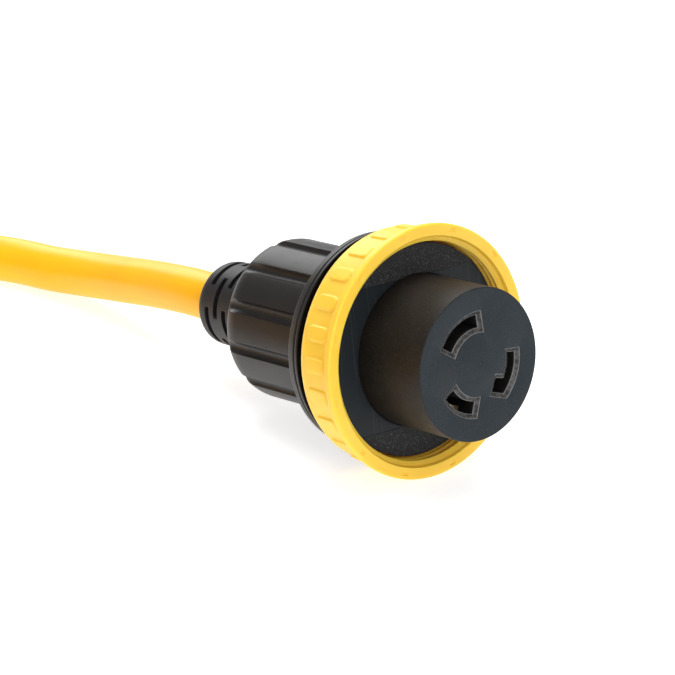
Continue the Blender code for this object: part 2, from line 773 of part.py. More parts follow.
def plug_body(frame):
    """The moulded grip of the plug, open at the front for the contact insert."""
    back = -PLUG_LENGTH
    corner = (PLUG_R - PLUG_SHOULDER, back + PLUG_SHOULDER)
    outline = [(PLUG_R - 0.8 * MM, 0.0), (PLUG_R, -0.8 * MM)]
    outline += arc(corner, PLUG_SHOULDER, 0.0, -90.0, 5)
    outline += [
        (CORD_R + GAP, back),
        (CORD_R + GAP, -PLUG_LENGTH / 2),
        (PLUG_INSERT_R + GAP, -PLUG_LENGTH / 2 + 4 * MM),
        (PLUG_INSERT_R + GAP, 0.0),
    ]
    return turned("plug_body", outline, "yellow_nylon", frame)


def plug_relief(frame):
    front = -PLUG_LENGTH - GAP
    back = -PLUG_LENGTH - PLUG_NECK
    return turned(
        "plug_relief",
        [
            (PLUG_NECK_R, front),
            (CORD_R + 2.2 * MM, back),
            (CORD_R + GAP, back),
            (CORD_R + GAP, front),
        ],
        "black_rubber",
        frame,
    )


def blade_shape(name, index, frame, grow=0.0):
    """A flat blade of the plug: one of a pair that lean towards each other, with room to grow for its slot."""
    side = (-1.0, 1.0)[index]
    lean = Matrix.Rotation(math.radians(side * BLADE_LEAN), 4, "Z")
    back = -PLUG_INSERT - 4 * MM - grow
    middle = Matrix.Translation((2.5 * MM, side * BLADE_OFF, (BLADE[2] + back) / 2))
    size = Matrix.Diagonal((BLADE[1] + grow, BLADE[0] + grow, BLADE[2] - back, 1.0))
    shape = bmesh.new()
    bmesh.ops.create_cube(shape, size=1.0, matrix=middle @ lean @ size)
    return from_bmesh(shape, name, None if grow else "brass", frame)


def pin_shape(name, frame, grow=0.0):
    """The plug's round earth pin."""
    shape = bmesh.new()
    add_rod(shape, PIN_R + grow, (-PLUG_INSERT - 4 * MM - grow, BLADE[2] + 3 * MM), (-PIN_OFF, 0.0))
    return from_bmesh(shape, name, None if grow else "brass", frame)


def plug_insert(frame):
    """The hard disc that holds the blades."""
    shape = bmesh.new()
    add_rod(shape, PLUG_INSERT_R, (-PLUG_INSERT, -0.4 * MM), segments=SEGMENTS)
    body = smooth(from_bmesh(shape, "plug_insert", "black_nylon", frame))
    for index in range(2):
        cut(body, blade_shape(f"blade_slot_{index + 1}", index, frame, grow=2 * GAP))
    return cut(body, pin_shape("pin_hole", frame, grow=GAP))


def build():
    frame = bpy.data.objects.new("connector_axis", None)
    PARTS.objects.link(frame)
    up = Vector((-math.sin(TILT), 0.0, math.cos(TILT)))
    along = Vector((math.cos(TILT), 0.0, math.sin(TILT)))
    basis = Matrix((up, along.cross(up), along)).transposed().to_4x4()
    frame.matrix_world = Matrix.Translation((FACE_X, 0.0, FACE_HEIGHT)) @ basis
    contact_housing(frame)
    for name in SLOT_BEARINGS:
        contact(name, frame)
        terminal_screw(name, frame)
    face_gasket(frame)
    front_collar(frame)
    for index in range(3):
        collar_screw(index, frame)
    thrust_washer(frame)
    locking_ring(frame)
    rear_shell(frame)
    strain_relief(frame)
    clamp_half("clamp_upper", 1, frame)
    clamp_half("clamp_lower", -1, frame)
    for index in range(2):
        clamp_screw(index, frame)
    jacket_end(frame)
    for name, finish in (("hot", "black_core"), ("neutral", "white_core"), ("ground", "green_core")):
        conductor(name, finish, frame)
    tube("cord_run", smooth_route(route_points(), 2.2 * CORD_D), "yellow_jacket")
    centre = coil_frame()
    cord_coil(centre)
    for index in range(len(TIE_BEARINGS)):
        coil_tie(index, centre)
    tube("cord_tail", smooth_route(tail_points(), 2.2 * CORD_D), "yellow_jacket")
    end = plug_frame()
    plug_body(end)
    plug_relief(end)
    plug_insert(end)
    for index, name in enumerate(("plug_hot_blade", "plug_neutral_blade")):
        blade_shape(name, index, end)
    pin_shape("plug_ground_pin", end)


clear_scene()
PARTS = collection("shore_power_cord")
CUTTERS = collection("cutters", hidden=True)
build()
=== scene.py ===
# %% [markdown]
# # Dressing a shore power cord
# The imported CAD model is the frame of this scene: it says where every piece of the connector, its
# cord and its plug lies, and how the coupling ring moves. This lesson keeps those places and gives
# each piece the shape and finish of the moulded, machined or woven part it stands for.

# %% Load the frame
import json
import math

import bmesh
import bpy
import numpy as np
from mathutils import Matrix, Vector
from mathutils.geometry import delaunay_2d_cdt

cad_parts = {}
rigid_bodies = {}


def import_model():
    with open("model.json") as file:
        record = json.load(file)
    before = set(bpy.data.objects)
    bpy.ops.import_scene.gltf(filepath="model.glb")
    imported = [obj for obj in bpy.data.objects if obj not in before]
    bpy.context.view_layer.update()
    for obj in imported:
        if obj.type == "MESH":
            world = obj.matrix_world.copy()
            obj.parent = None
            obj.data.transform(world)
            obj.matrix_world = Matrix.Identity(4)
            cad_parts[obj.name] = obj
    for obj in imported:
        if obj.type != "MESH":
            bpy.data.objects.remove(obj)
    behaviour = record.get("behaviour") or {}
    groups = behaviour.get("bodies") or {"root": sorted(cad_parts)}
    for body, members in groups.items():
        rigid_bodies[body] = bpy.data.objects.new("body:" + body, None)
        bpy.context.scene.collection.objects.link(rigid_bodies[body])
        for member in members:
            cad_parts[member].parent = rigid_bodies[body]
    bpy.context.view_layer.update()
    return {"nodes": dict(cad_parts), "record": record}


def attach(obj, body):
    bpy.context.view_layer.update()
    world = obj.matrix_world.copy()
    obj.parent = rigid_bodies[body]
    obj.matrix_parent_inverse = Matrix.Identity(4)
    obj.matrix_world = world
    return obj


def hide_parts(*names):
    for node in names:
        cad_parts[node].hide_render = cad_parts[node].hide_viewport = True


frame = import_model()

for item in list(bpy.data.objects):
    if item.name in ("Cube", "Light", "Camera"):
        bpy.data.objects.remove(item, do_unlink=True)
MM = 0.001

# %% [markdown]
# ## The connector's own axes
# The connector lies on a slant, so its round pieces are easiest to write in three numbers: right and
# up across its mating face, and along its axis, which is 0 at the face and negative behind it. The
# mount on the mating face gives the place and the slant.

# %% The axes
mating_face = next(m for m in frame["record"]["mounts"] if m["name"] == "mating_face")
FACE = np.array(mating_face["pos_m"])
ALONG = np.array(mating_face["axis"]) / np.linalg.norm(mating_face["axis"])
RIGHT = np.array([0.0, 1.0, 0.0])
UP = np.cross(ALONG, RIGHT)
UPWARD = np.array([0.0, 0.0, 1.0])


def on_axis(right, up, along):
    """World corners from the connector's own numbers: the face's place plus each one times its direction."""
    right, up, along = np.broadcast_arrays(right, up, along)
    return FACE + right[..., None] * RIGHT + up[..., None] * UP + along[..., None] * ALONG


def around(radius, bearing, along):
    """The same from polar numbers. Bearings are degrees anticlockwise from the right, from the front."""
    turn = np.radians(bearing)
    return on_axis(radius * np.cos(turn), radius * np.sin(turn), along)


print("axis leans back by", round(math.degrees(math.asin(ALONG[2])), 1), "degrees")

# %% [markdown]
# ## The camera
# A long lens from above and to the right of the mating face: it sees the face, the inside of the
# coupling ring and the fluted shell, and the cord running out of view on the left.

# %% The camera
VIEW_BEARING = math.radians(49.6)
VIEW_RISE = math.radians(22.8)
VIEW_DISTANCE = 0.898
FACE_OFF_CENTRE = (0.0398, 0.0077)
view_right = np.array([math.cos(VIEW_BEARING), math.sin(VIEW_BEARING), 0.0])
level = np.array([-math.sin(VIEW_BEARING), math.cos(VIEW_BEARING), 0.0])
view_forward = math.cos(VIEW_RISE) * level - math.sin(VIEW_RISE) * UPWARD
view_up = np.cross(view_right, view_forward)
eye = FACE - VIEW_DISTANCE * view_forward - FACE_OFF_CENTRE[0] * view_right + FACE_OFF_CENTRE[1] * view_up
lens = bpy.data.cameras.new("camera")
lens.lens = 170.0
lens.sensor_width = 36.0
camera = bpy.data.objects.new("camera", lens)
bpy.context.scene.collection.objects.link(camera)
turn = np.stack([view_right, view_up, -view_forward], axis=1)
camera.matrix_world = Matrix.Translation(Vector(eye)) @ Matrix(turn.tolist()).to_4x4()
bpy.context.scene.camera = camera
print("camera at", np.round(eye, 3).tolist())

# %% [markdown]
# ## Meshes from whole arrays
# A surface here is a grid of corners, worked out for all its rows and columns at once. The faces
# between them follow one rule, so one helper numbers them, and another hands corners and faces to
# Blender in single calls. A closed shape whose volume comes out negative has its faces turned round.

# %% Mesh helpers
def grid(rows, columns, wrap_rows=False, wrap_columns=True, first=0):
    """Quads of a grid numbered row by row. A direction that wraps joins its last line to its first."""
    r = np.arange(rows if wrap_rows else rows - 1)[:, None]
    c = np.arange(columns if wrap_columns else columns - 1)[None, :]
    after, beside = (r + 1) % rows, (c + 1) % columns
    corners = (r * columns + c, r * columns + beside, after * columns + beside, after * columns + c)
    return first + np.stack(np.broadcast_arrays(*corners), axis=-1).reshape(-1, 4)


def fan(centre, ring):
    """Triangles from one corner to each side of a closed ring of corners."""
    ring = np.asarray(ring)
    return np.stack([np.full(len(ring), centre), np.roll(ring, -1), ring], axis=-1)


def capped(rows, sides):
    """Faces of a stack of rings, with a fan over each end round the two corners that follow the rings."""
    ring, after = np.arange(sides), rows * sides
    return [grid(rows, sides), fan(after, ring), fan(after + 1, (ring + after - sides)[::-1])]


def volume_of(corners, faces):
    """Six times the volume: the sum over triangles of their corners' triple product."""
    total = 0.0
    for group in faces:
        for k in range(1, group.shape[1] - 1):
            a, b, c = (corners[group[:, i]] for i in (0, k, k + 1))
            total += float((a * np.cross(b, c)).sum())
    return total


def make_piece(name, corners, faces, finish=None, sharp=40.0, flat=(), recalculate=False):
    """An object at the origin from corners and groups of faces. Groups numbered in flat aren't smoothed."""
    corners = np.asarray(corners, float).reshape(-1, 3)
    faces = [np.asarray(group) for group in faces]
    if volume_of(corners - corners.mean(axis=0), faces) < 0:
        faces = [group[:, ::-1] for group in faces]
    mesh = bpy.data.meshes.new(name)
    sizes = np.concatenate([np.full(len(group), group.shape[1]) for group in faces])
    mesh.vertices.add(len(corners))
    mesh.vertices.foreach_set("co", corners.astype(np.float32).ravel())
    mesh.loops.add(int(sizes.sum()))
    mesh.loops.foreach_set("vertex_index", np.concatenate([g.ravel() for g in faces]).astype(np.int32))
    mesh.polygons.add(len(sizes))
    mesh.polygons.foreach_set("loop_start", np.concatenate([[0], np.cumsum(sizes)[:-1]]).astype(np.int32))
    smooth = np.concatenate([np.full(len(g), k not in flat) for k, g in enumerate(faces)])
    mesh.polygons.foreach_set("use_smooth", smooth)
    mesh.update(calc_edges=True)
    mesh.validate()
    if recalculate:
        shape = bmesh.new()
        shape.from_mesh(mesh)
        bmesh.ops.recalc_face_normals(shape, faces=shape.faces)
        shape.to_mesh(mesh)
        shape.free()
    mesh.set_sharp_from_angle(angle=math.radians(sharp))
    made = bpy.data.objects.new(name, mesh)
    bpy.context.scene.collection.objects.link(made)
    if finish:
        mesh.materials.append(finish)
    print(name, len(corners), "corners,", int((sizes - 2).sum()), "triangles")
    return made


def corner_numbers(made):
    """The number of the mesh's corner at every corner of its faces."""
    index = np.empty(len(made.data.loops), np.int32)
    made.data.loops.foreach_get("vertex_index", index)
    return index


def add_map(made, name, places):
    """A UV map from one pair of numbers for every corner of the faces."""
    made.data.uv_layers.new(name=name).data.foreach_set("uv", places.astype(np.float32).ravel())


def squared_off(wave, power):
    """A sine or cosine pushed out towards 1 and -1: its sign times its size to a power below 1."""
    return np.sign(wave) * np.abs(wave) ** power


def stands_for(made, body, slot, *nodes):
    """The piece rides on its body in place of those CAD nodes, which it hides. slot is not used."""
    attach(made, body)
    if nodes:
        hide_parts(*nodes)
    return made


# %% [markdown]
# ## The cord's route
# A 7.6 metre cord, 15 mm thick, is stiff: it leaves the strain relief straight, sinks to the floor in
# one long bend and is wound away as for storage. Its turns lie in three layers of four with two more
# in the grooves on top, and each turn moves over by one thickness within the same part of the circle,
# so that neighbours stay side by side. The last bend rises gently into the plug, which lies on top.

# %% The cord's numbers
CORD_D = 15.0 * MM
COIL_CENTRE = np.array([-99.0, -200.0]) * MM
COIL_R = 81.0 * MM
LAYER_HEIGHTS = (9.4 * MM, 24.4 * MM, 39.4 * MM)
CROWN_HEIGHT = 52.4 * MM
CROWN_RADII = (66.0 * MM, 81.0 * MM)
COIL_START = 180.0
SHIFT_SECTOR = 140.0
RISE_BEARING = 92.0
BEND_BEARING = 150.0
BEND_R = 66.0 * MM
PLUG_HEADING = 290.0
PLUG_HEIGHT = 82.2 * MM
PLUG_LEAD = 10.0 * MM
PLUG_LENGTH = 44.0 * MM
PLUG_NECK = 26.0 * MM
RELIEF_END = -114.5 * MM
JACKET_STOP = -107.3 * MM
columns = COIL_R + CORD_D * np.array([1.5, 0.5, -0.5, -1.5])
TURN_RADII = np.array([*columns, *columns[::-1], *columns, *CROWN_RADII])
TURN_HEIGHTS = np.array([h for h in LAYER_HEIGHTS for _ in columns] + [CROWN_HEIGHT] * 2)


def eased(share):
    """0 to 1 with no corner at either end: t cubed times (10 - 15 t + 6 t squared)."""
    t = np.clip(share, 0.0, 1.0)
    return t * t * t * (10.0 - 15.0 * t + 6.0 * t * t)


def coil_turns(turned):
    """Places on the wound turns. Radius and height keep to the turn's own until its last sector, then ease to
    the next turn's. Where the cord climbs a layer it swings 3 mm out of the stack and back."""
    turn = np.minimum((turned // 360.0).astype(int), len(TURN_RADII) - 1)
    after = np.minimum(turn + 1, len(TURN_RADII) - 1)
    share = eased((turned - 360.0 * turn - 360.0 + SHIFT_SECTOR) / SHIFT_SECTOR)
    radius = TURN_RADII[turn] + (TURN_RADII[after] - TURN_RADII[turn]) * share
    height = TURN_HEIGHTS[turn] + (TURN_HEIGHTS[after] - TURN_HEIGHTS[turn]) * share
    climbs = TURN_HEIGHTS[after] > TURN_HEIGHTS[turn]
    side = np.where(TURN_RADII[turn] < COIL_R, -1.0, 1.0)
    radius = radius + climbs * side * 3.0 * MM * np.sin(np.pi * share) ** 2
    bearing = np.radians(COIL_START + turned)
    x, y = COIL_CENTRE[0] + radius * np.cos(bearing), COIL_CENTRE[1] + radius * np.sin(bearing)
    return np.stack([x, y, height], axis=-1)


def last_bend(bearing):
    """Places on the bend that leaves the crown: an arc of the coil's radius, then a tighter one about its own
    centre, rising along both by t squared times (3 - 2 t) of the way covered."""
    tight = (bearing > BEND_BEARING)[:, None]
    out = np.radians(BEND_BEARING)
    bend_centre = COIL_CENTRE + (COIL_R - BEND_R) * np.array([math.cos(out), math.sin(out)])
    across = np.stack([np.cos(np.radians(bearing)), np.sin(np.radians(bearing))], axis=-1)
    flat = np.where(tight, bend_centre + BEND_R * across, COIL_CENTRE + COIL_R * across)
    way = COIL_R * np.minimum(bearing - RISE_BEARING, BEND_BEARING - RISE_BEARING)
    way = way + BEND_R * np.maximum(0.0, bearing - BEND_BEARING)
    share = way / (COIL_R * (BEND_BEARING - RISE_BEARING) + BEND_R * (PLUG_HEADING - 90.0 - BEND_BEARING))
    height = CROWN_HEIGHT + (PLUG_HEIGHT - CROWN_HEIGHT) * share * share * (3.0 - 2.0 * share)
    return np.concatenate([flat, height[:, None]], axis=1)


relief_exit = on_axis(0.0, 0.0, RELIEF_END)
RUN = np.array(
    [
        on_axis(0.0, 0.0, JACKET_STOP),
        on_axis(0.0, 0.0, RELIEF_END - 4 * MM),
        (-0.0754, -0.0004, 0.0223), (-0.0938, 0.0006, 0.0187), (-0.1100, 0.0012, 0.0151),
        (-0.1235, 0.0014, 0.0122), (-0.1370, 0.0005, 0.0097), (-0.1490, -0.0020, 0.0083),
        (-0.1616, -0.0051, 0.0077), (-0.1733, -0.0108, 0.0076), (-0.1835, -0.0188, 0.0076),
        (-0.1918, -0.0287, 0.0076), (-0.1979, -0.0402, 0.0076), (-0.2015, -0.0526, 0.0076),
        (-0.2025, -0.0660, 0.0076), (-0.2025, -0.0920, 0.0080), (-0.2025, -0.1170, 0.0088),
        (-0.2025, -0.1410, 0.0094), (-0.2025, -0.1700, 0.0094),
    ]
)
STEP_DEGREES = 6.0
wound = coil_turns(np.arange(0.0, 360.0 * 14 - (COIL_START - RISE_BEARING), STEP_DEGREES))
bend = last_bend(np.arange(RISE_BEARING, PLUG_HEADING - 90.0 + 1.0, STEP_DEGREES))
heading = np.radians(PLUG_HEADING)
PLUG_AHEAD = np.array([math.cos(heading), math.sin(heading), 0.0])
plug_rear = last_bend(np.array([PLUG_HEADING - 90.0]))[0] + PLUG_LEAD * PLUG_AHEAD
PLUG_FACE = plug_rear + (PLUG_NECK + PLUG_LENGTH) * PLUG_AHEAD
inside_plug = plug_rear + np.array([[0.0], [12.0], [24.0], [36.0], [47.0]]) * MM * PLUG_AHEAD
ROUTE = np.concatenate([RUN, wound, bend, inside_plug])
print(len(ROUTE), "points on the route")

# %% [markdown]
# ## A tube along the route
# The route's points become one smooth line, a Catmull-Rom curve, which is read at even steps. Around
# each place of that line lies a circle of corners. Its start direction is carried along without
# twisting, by taking out at each step only the part that points along the line, so the pattern on the
# jacket doesn't spin. The tube keeps its own UV map, round it and along it in metres.

# %% Lines and tubes
def smooth_line(points, step):
    """A Catmull-Rom curve through the points, then read at even steps of its length."""
    path = np.concatenate([[2 * points[0] - points[1]], points, [2 * points[-1] - points[-2]]])
    a, b, c, d = path[:-3], path[1:-2], path[2:-1], path[3:]
    t = np.linspace(0.0, 1.0, 12, endpoint=False)[None, :, None]
    a, b, c, d = (p[:, None, :] for p in (a, b, c, d))
    curve = 2 * b + (c - a) * t + (2 * a - 5 * b + 4 * c - d) * t**2 + (3 * b - a - 3 * c + d) * t**3
    fine = np.concatenate([0.5 * curve.reshape(-1, 3), points[-1:]])
    far = np.concatenate([[0.0], np.cumsum(np.linalg.norm(np.diff(fine, axis=0), axis=1))])
    even = np.linspace(0.0, far[-1], int(round(far[-1] / step)) + 1)
    return np.stack([np.interp(even, far, fine[:, k]) for k in range(3)], axis=1), even


def carried_frame(line):
    """Directions across the line, carried along it without twist, and their partners at a right angle."""
    along = np.gradient(line, axis=0)
    along /= np.linalg.norm(along, axis=1)[:, None]
    across = np.empty_like(along)
    side = np.cross(along[0], [0.0, 0.0, 1.0])
    for k, forward in enumerate(along):
        side = side - forward * (side @ forward)
        side /= np.linalg.norm(side)
        across[k] = side
    return across, np.cross(along, across)


def tube(name, line, far, radius, sides, finish):
    """A closed tube: at each place of the line a circle of that radius, and a fan over each end."""
    across, upward = carried_frame(line)
    turn = np.linspace(0.0, 2 * np.pi, sides, endpoint=False)[None, :, None]
    rings = line[:, None] + radius * (np.cos(turn) * across[:, None] + np.sin(turn) * upward[:, None])
    rows = len(line)
    corners = np.concatenate([rings.reshape(-1, 3), line[:1], line[-1:]])
    made = make_piece(name, corners, capped(rows, sides), finish, sharp=60.0)
    index = corner_numbers(made)
    row = np.minimum(index // sides, rows - 1)
    places = np.stack([(index % sides) / sides * 2 * np.pi * radius, far[row]], axis=1)
    seam = np.zeros(len(index), bool)
    quads = index[: 4 * (rows - 1) * sides].reshape(-1, 4) % sides
    seam[: quads.size] = ((quads == 0) & (quads.max(axis=1) == sides - 1)[:, None]).ravel()
    places[seam, 0] = 2 * np.pi * radius
    add_map(made, "jacket", places)
    return made


line, far = smooth_line(ROUTE, 5.0 * MM)
print("cord's middle line is", round(far[-1], 3), "m long")


# %% [markdown]
# ## Writing shader maths as Python
# A finish is one Principled shader with nodes in front of it. A small class wraps a socket, and its
# operators add Math nodes, so a pattern reads like the sum that it is. One method makes every other
# node: it takes the type, the settings, and what each input gets.

# %% Sockets and finishes
class Wire:
    """A number in a material's node tree. Arithmetic on it adds a Math node and gives the result."""

    def __init__(self, finish, socket):
        self.finish = finish
        self.socket = socket

    def _math(self, operation, *values):
        made = self.finish.node("Math", {"operation": operation}, dict(enumerate(values)))
        return Wire(self.finish, made.outputs[0])

    def __add__(self, other):
        return self._math("ADD", self, other)

    def __radd__(self, other):
        return self._math("ADD", other, self)

    def __sub__(self, other):
        return self._math("SUBTRACT", self, other)

    def __rsub__(self, other):
        return self._math("SUBTRACT", other, self)

    def __mul__(self, other):
        return self._math("MULTIPLY", self, other)

    def __rmul__(self, other):
        return self._math("MULTIPLY", other, self)

    def magnitude(self):
        return self._math("ABSOLUTE", self)

    def sine(self):
        return self._math("SINE", self)

    def root(self):
        return self._math("SQRT", self)

    def between(self, low, high):
        """0 below low, 1 above high and a soft step between them."""
        made = self.finish.node(
            "MapRange",
            {"interpolation_type": "SMOOTHSTEP"},
            {"Value": self, "From Min": low, "From Max": high, "To Min": 0.0, "To Max": 1.0},
        )
        return Wire(self.finish, made.outputs[0])


class Finish:
    """A material made of nodes, with the object's own coordinates in metres to hang patterns on."""

    def __init__(self, name, colour, roughness, **uniform):
        self.material = bpy.data.materials.new(name)
        self.material.use_nodes = True
        self.tree = self.material.node_tree
        self.shader = self.tree.nodes["Principled BSDF"]
        self.shader.inputs["Base Color"].default_value = (*colour, 1.0)
        self.shader.inputs["Roughness"].default_value = roughness
        for key, value in uniform.items():
            self.shader.inputs[key.replace("_", " ").title().replace("Ior", "IOR")].default_value = value
        self.material.diffuse_color = (*colour, 1.0)
        self.place = self.node("TexCoord").outputs["Object"]

    def node(self, kind, settings=None, sockets=None):
        """A node of this type. The settings come first, because some of them change which sockets it has."""
        made = self.tree.nodes.new("ShaderNode" + kind)
        for key, value in (settings or {}).items():
            setattr(made, key, value)
        for key, value in (sockets or {}).items():
            self.feed(made.inputs[key], value)
        return made

    def feed(self, target, value):
        """Links a socket, or sets a plain number or colour."""
        if isinstance(value, Wire):
            value = value.socket
        if isinstance(value, bpy.types.NodeSocket):
            self.tree.links.new(value, target)
        else:
            target.default_value = value

    def turned_to(self, origin, rotation):
        """Coordinates moved and turned into a piece's own axes: right, up and along."""
        return self.node(
            "Mapping",
            {"vector_type": "TEXTURE"},
            {"Vector": self.place, "Location": tuple(origin), "Rotation": tuple(rotation)},
        ).outputs[0]

    def stretched(self, scale, vector=None):
        return self.node("Mapping", {}, {"Vector": vector or self.place, "Scale": scale}).outputs[0]

    def parts_of(self, vector):
        """A vector's three numbers."""
        split = self.node("SeparateXYZ", {}, {0: vector})
        return [Wire(self, split.outputs[k]) for k in range(3)]

    def noise(self, size, detail=3.0, roughness=0.55, vector=None):
        """Noise from 0 to 1 whose blotches are about that size in metres."""
        made = self.node(
            "TexNoise",
            {"normalize": True},
            {"Vector": vector or self.place, "Scale": 1.0 / size, "Detail": detail, "Roughness": roughness},
        )
        return Wire(self, made.outputs[0])

    def scratches(self, size, vector=None):
        """1 on the thin edges of a cell pattern of that size, and 0 inside the cells."""
        made = self.node(
            "TexVoronoi",
            {"feature": "DISTANCE_TO_EDGE"},
            {"Vector": vector or self.place, "Scale": 1.0 / size},
        )
        return 1.0 - Wire(self, made.outputs["Distance"]).between(0.0, 0.06)

    def mix(self, share, first, second):
        """One colour into another by a share."""
        made = self.node("Mix", {"data_type": "RGBA"}, {0: share, 6: first, 7: second})
        return made.outputs[2]

    def tint(self, colour):
        self.feed(self.shader.inputs["Base Color"], colour)

    def rough(self, value):
        self.feed(self.shader.inputs["Roughness"], value)

    def relief(self, height, depth, before=None):
        """Bumps the surface by a height from 0 to 1, times a depth in metres, over an earlier bump."""
        sockets = {"Height": height, "Distance": depth, "Strength": 1.0}
        if before is not None:
            sockets["Normal"] = before
        normal = self.node("Bump", {}, sockets).outputs[0]
        self.feed(self.shader.inputs["Normal"], normal)
        return normal


def rgba(red, green, blue):
    return (red, green, blue, 1.0)


AXIS_TURN = Matrix(np.stack([RIGHT, UP, ALONG], axis=1).tolist()).to_euler()
PLUG_RIGHT = np.cross(UPWARD, PLUG_AHEAD)

# %% [markdown]
# ## The jacket and the cord
# The yellow jacket is extruded over three twisted cores. It shows fine streaks along it, a faint
# swelling that follows the twist, scuffs where it was dragged, and a satin skin. The streaks and the
# twist follow the tube's own UV map, whose numbers are metres round and along the cord.

# %% The jacket's finish
def jacket_finish(name, wound_map):
    made = Finish(name, (0.98, 0.50, 0.006), 0.36, specular_ior_level=0.3)
    if wound_map:
        place = made.node("UVMap", {"uv_map": "jacket"}).outputs[0]
    else:
        place = made.place
    streaks = made.noise(0.0016, 2.0, vector=made.stretched((1.0, 0.03, 1.0), place))
    patches = made.noise(0.03, 3.0)
    scuffs = made.noise(0.004, 5.0, 0.7).between(0.62, 0.75)
    round_it, along_it, _ = made.parts_of(place)
    twist = ((round_it * (2 * np.pi / (np.pi * CORD_D)) * 3.0) + along_it * (2 * np.pi / 0.045)).sine()
    warm = made.mix(patches.between(0.35, 0.7), rgba(0.99, 0.51, 0.006), rgba(0.96, 0.475, 0.005))
    dull = made.mix(scuffs * 0.30, warm, rgba(0.92, 0.52, 0.05))
    made.tint(made.mix(streaks.between(0.3, 0.8) * 0.10, dull, rgba(0.80, 0.36, 0.005)))
    made.rough(0.31 + scuffs * 0.16 + streaks * 0.08)
    grain = made.noise(0.00035, 2.0)
    before = made.relief(streaks * 0.6 + grain * 0.4, 0.00003)
    if wound_map:
        made.relief(twist * 0.5 + 0.5, 0.00009, before)
    return made.material


JACKET = jacket_finish("jacket", True)
cord = tube("cord", line, far, CORD_D / 2, 40, JACKET)
stands_for(cord, "root", "jacket", "cord_run", "cord_coil", "cord_tail")

# %% [markdown]
# ## Turned pieces
# Nearly every piece of the connector is a profile carried round the axis. The profile is written as
# corners, each with the length that its rounding takes from both sides. Rounding replaces the corner
# by a curve between those two places, and long sides are filled with even steps, so that whatever
# changes the radius later, such as a flute or a rib, has corners to move.

# %% Profiles and turned surfaces
def rounded(outline, spacing=0.8 * MM, steps=5, closed=True):
    """A dense line from (radius, along, rounding) corners in millimetres. Each corner becomes the curve
    (1 - t) squared A + 2 t (1 - t) C + t squared B between places A and B at the rounding's distance."""
    corners = np.array([c[:2] for c in outline]) * MM
    cut = np.array([c[2] for c in outline])[:, None] * MM
    before, after = np.roll(corners, 1, axis=0) - corners, np.roll(corners, -1, axis=0) - corners
    a = corners + before / np.linalg.norm(before, axis=1)[:, None] * cut
    b = corners + after / np.linalg.norm(after, axis=1)[:, None] * cut
    if not closed:
        a[0], b[0], a[-1], b[-1] = corners[0], corners[0], corners[-1], corners[-1]
    t = np.linspace(0.0, 1.0, steps)[:, None]
    pieces = []
    for k, corner in enumerate(corners):
        is_cut = np.linalg.norm(a[k] - b[k]) > 1e-7
        curve = (1 - t) ** 2 * a[k] + 2 * t * (1 - t) * corner + t**2 * b[k]
        pieces.append(curve if is_cut else corner[None])
        if k == len(corners) - 1 and not closed:
            break
        start, end = pieces[-1][-1], a[(k + 1) % len(corners)]
        count = int(np.linalg.norm(end - start) / spacing)
        share = np.linspace(0.0, 1.0, count + 2)[1:-1, None]
        pieces.append(start + (end - start) * share)
    return np.concatenate(pieces)


def turned(name, profile, bearings, finish, place=around, change=None, closed=True, sharp=40.0):
    """A profile of (radius, along) rows carried round its axis. change gives the radius at every row and
    bearing. A profile that isn't closed starts and ends on the axis, where a fan closes it."""
    radius, along = profile[:, :1], profile[:, 1:]
    bearings = np.asarray(bearings)[None, :]
    if change is not None:
        radius = change(radius, along, bearings)
    if closed:
        corners = place(radius, bearings, along)
        return make_piece(name, corners, [grid(len(profile), bearings.size, wrap_rows=True)], finish, sharp)
    inner = slice(1, -1)
    radius, along = np.broadcast_arrays(radius, along + 0 * bearings)
    corners = place(radius[inner], bearings, along[inner]).reshape(-1, 3)
    ends = place(np.zeros(2), np.zeros(2), profile[[0, -1], 1])
    faces = capped(len(profile) - 2, bearings.size)
    return make_piece(name, np.concatenate([corners, ends]), faces, finish, sharp)


def off_centre(bearing, first, count):
    """Degrees from the nearest of that many equally spaced bearings, the first of which is given."""
    period = 360.0 / count
    return (bearing - first + period / 2) % period - period / 2


def spread_bearings(first, count, offsets):
    """Columns that gather at the same offsets round each of the equally spaced bearings."""
    return np.sort((first + np.arange(count)[:, None] * 360.0 / count + np.asarray(offsets)[None, :]).ravel())


# %% [markdown]
# ## The blacks
# Three blacks lie side by side and differ only in their skins: the nose and shell are glass-filled
# nylon, satin and slightly brown, the gasket and thrust washer are pressed rubber sheet, matt and
# bluish, and the strain relief is soft moulded rubber.

# %% Black finishes
def nylon_finish():
    """Glass-filled nylon: fine grain, faint flow marks and a brown cast where it was rubbed."""
    made = Finish("black_nylon", (0.008, 0.0065, 0.0055), 0.36, specular_ior_level=0.36)
    flow = made.noise(0.012, 4.0, 0.6)
    grain = made.noise(0.0005, 3.0)
    rubbed = made.noise(0.003, 4.0, 0.7).between(0.60, 0.74)
    tone = made.mix(flow.between(0.35, 0.65), rgba(0.009, 0.007, 0.0055), rgba(0.006, 0.005, 0.0045))
    made.tint(made.mix(rubbed * 0.35, tone, rgba(0.030, 0.026, 0.023)))
    made.rough(0.32 + flow * 0.12 + rubbed * 0.12)
    made.relief(grain, 0.00005)
    return made.material


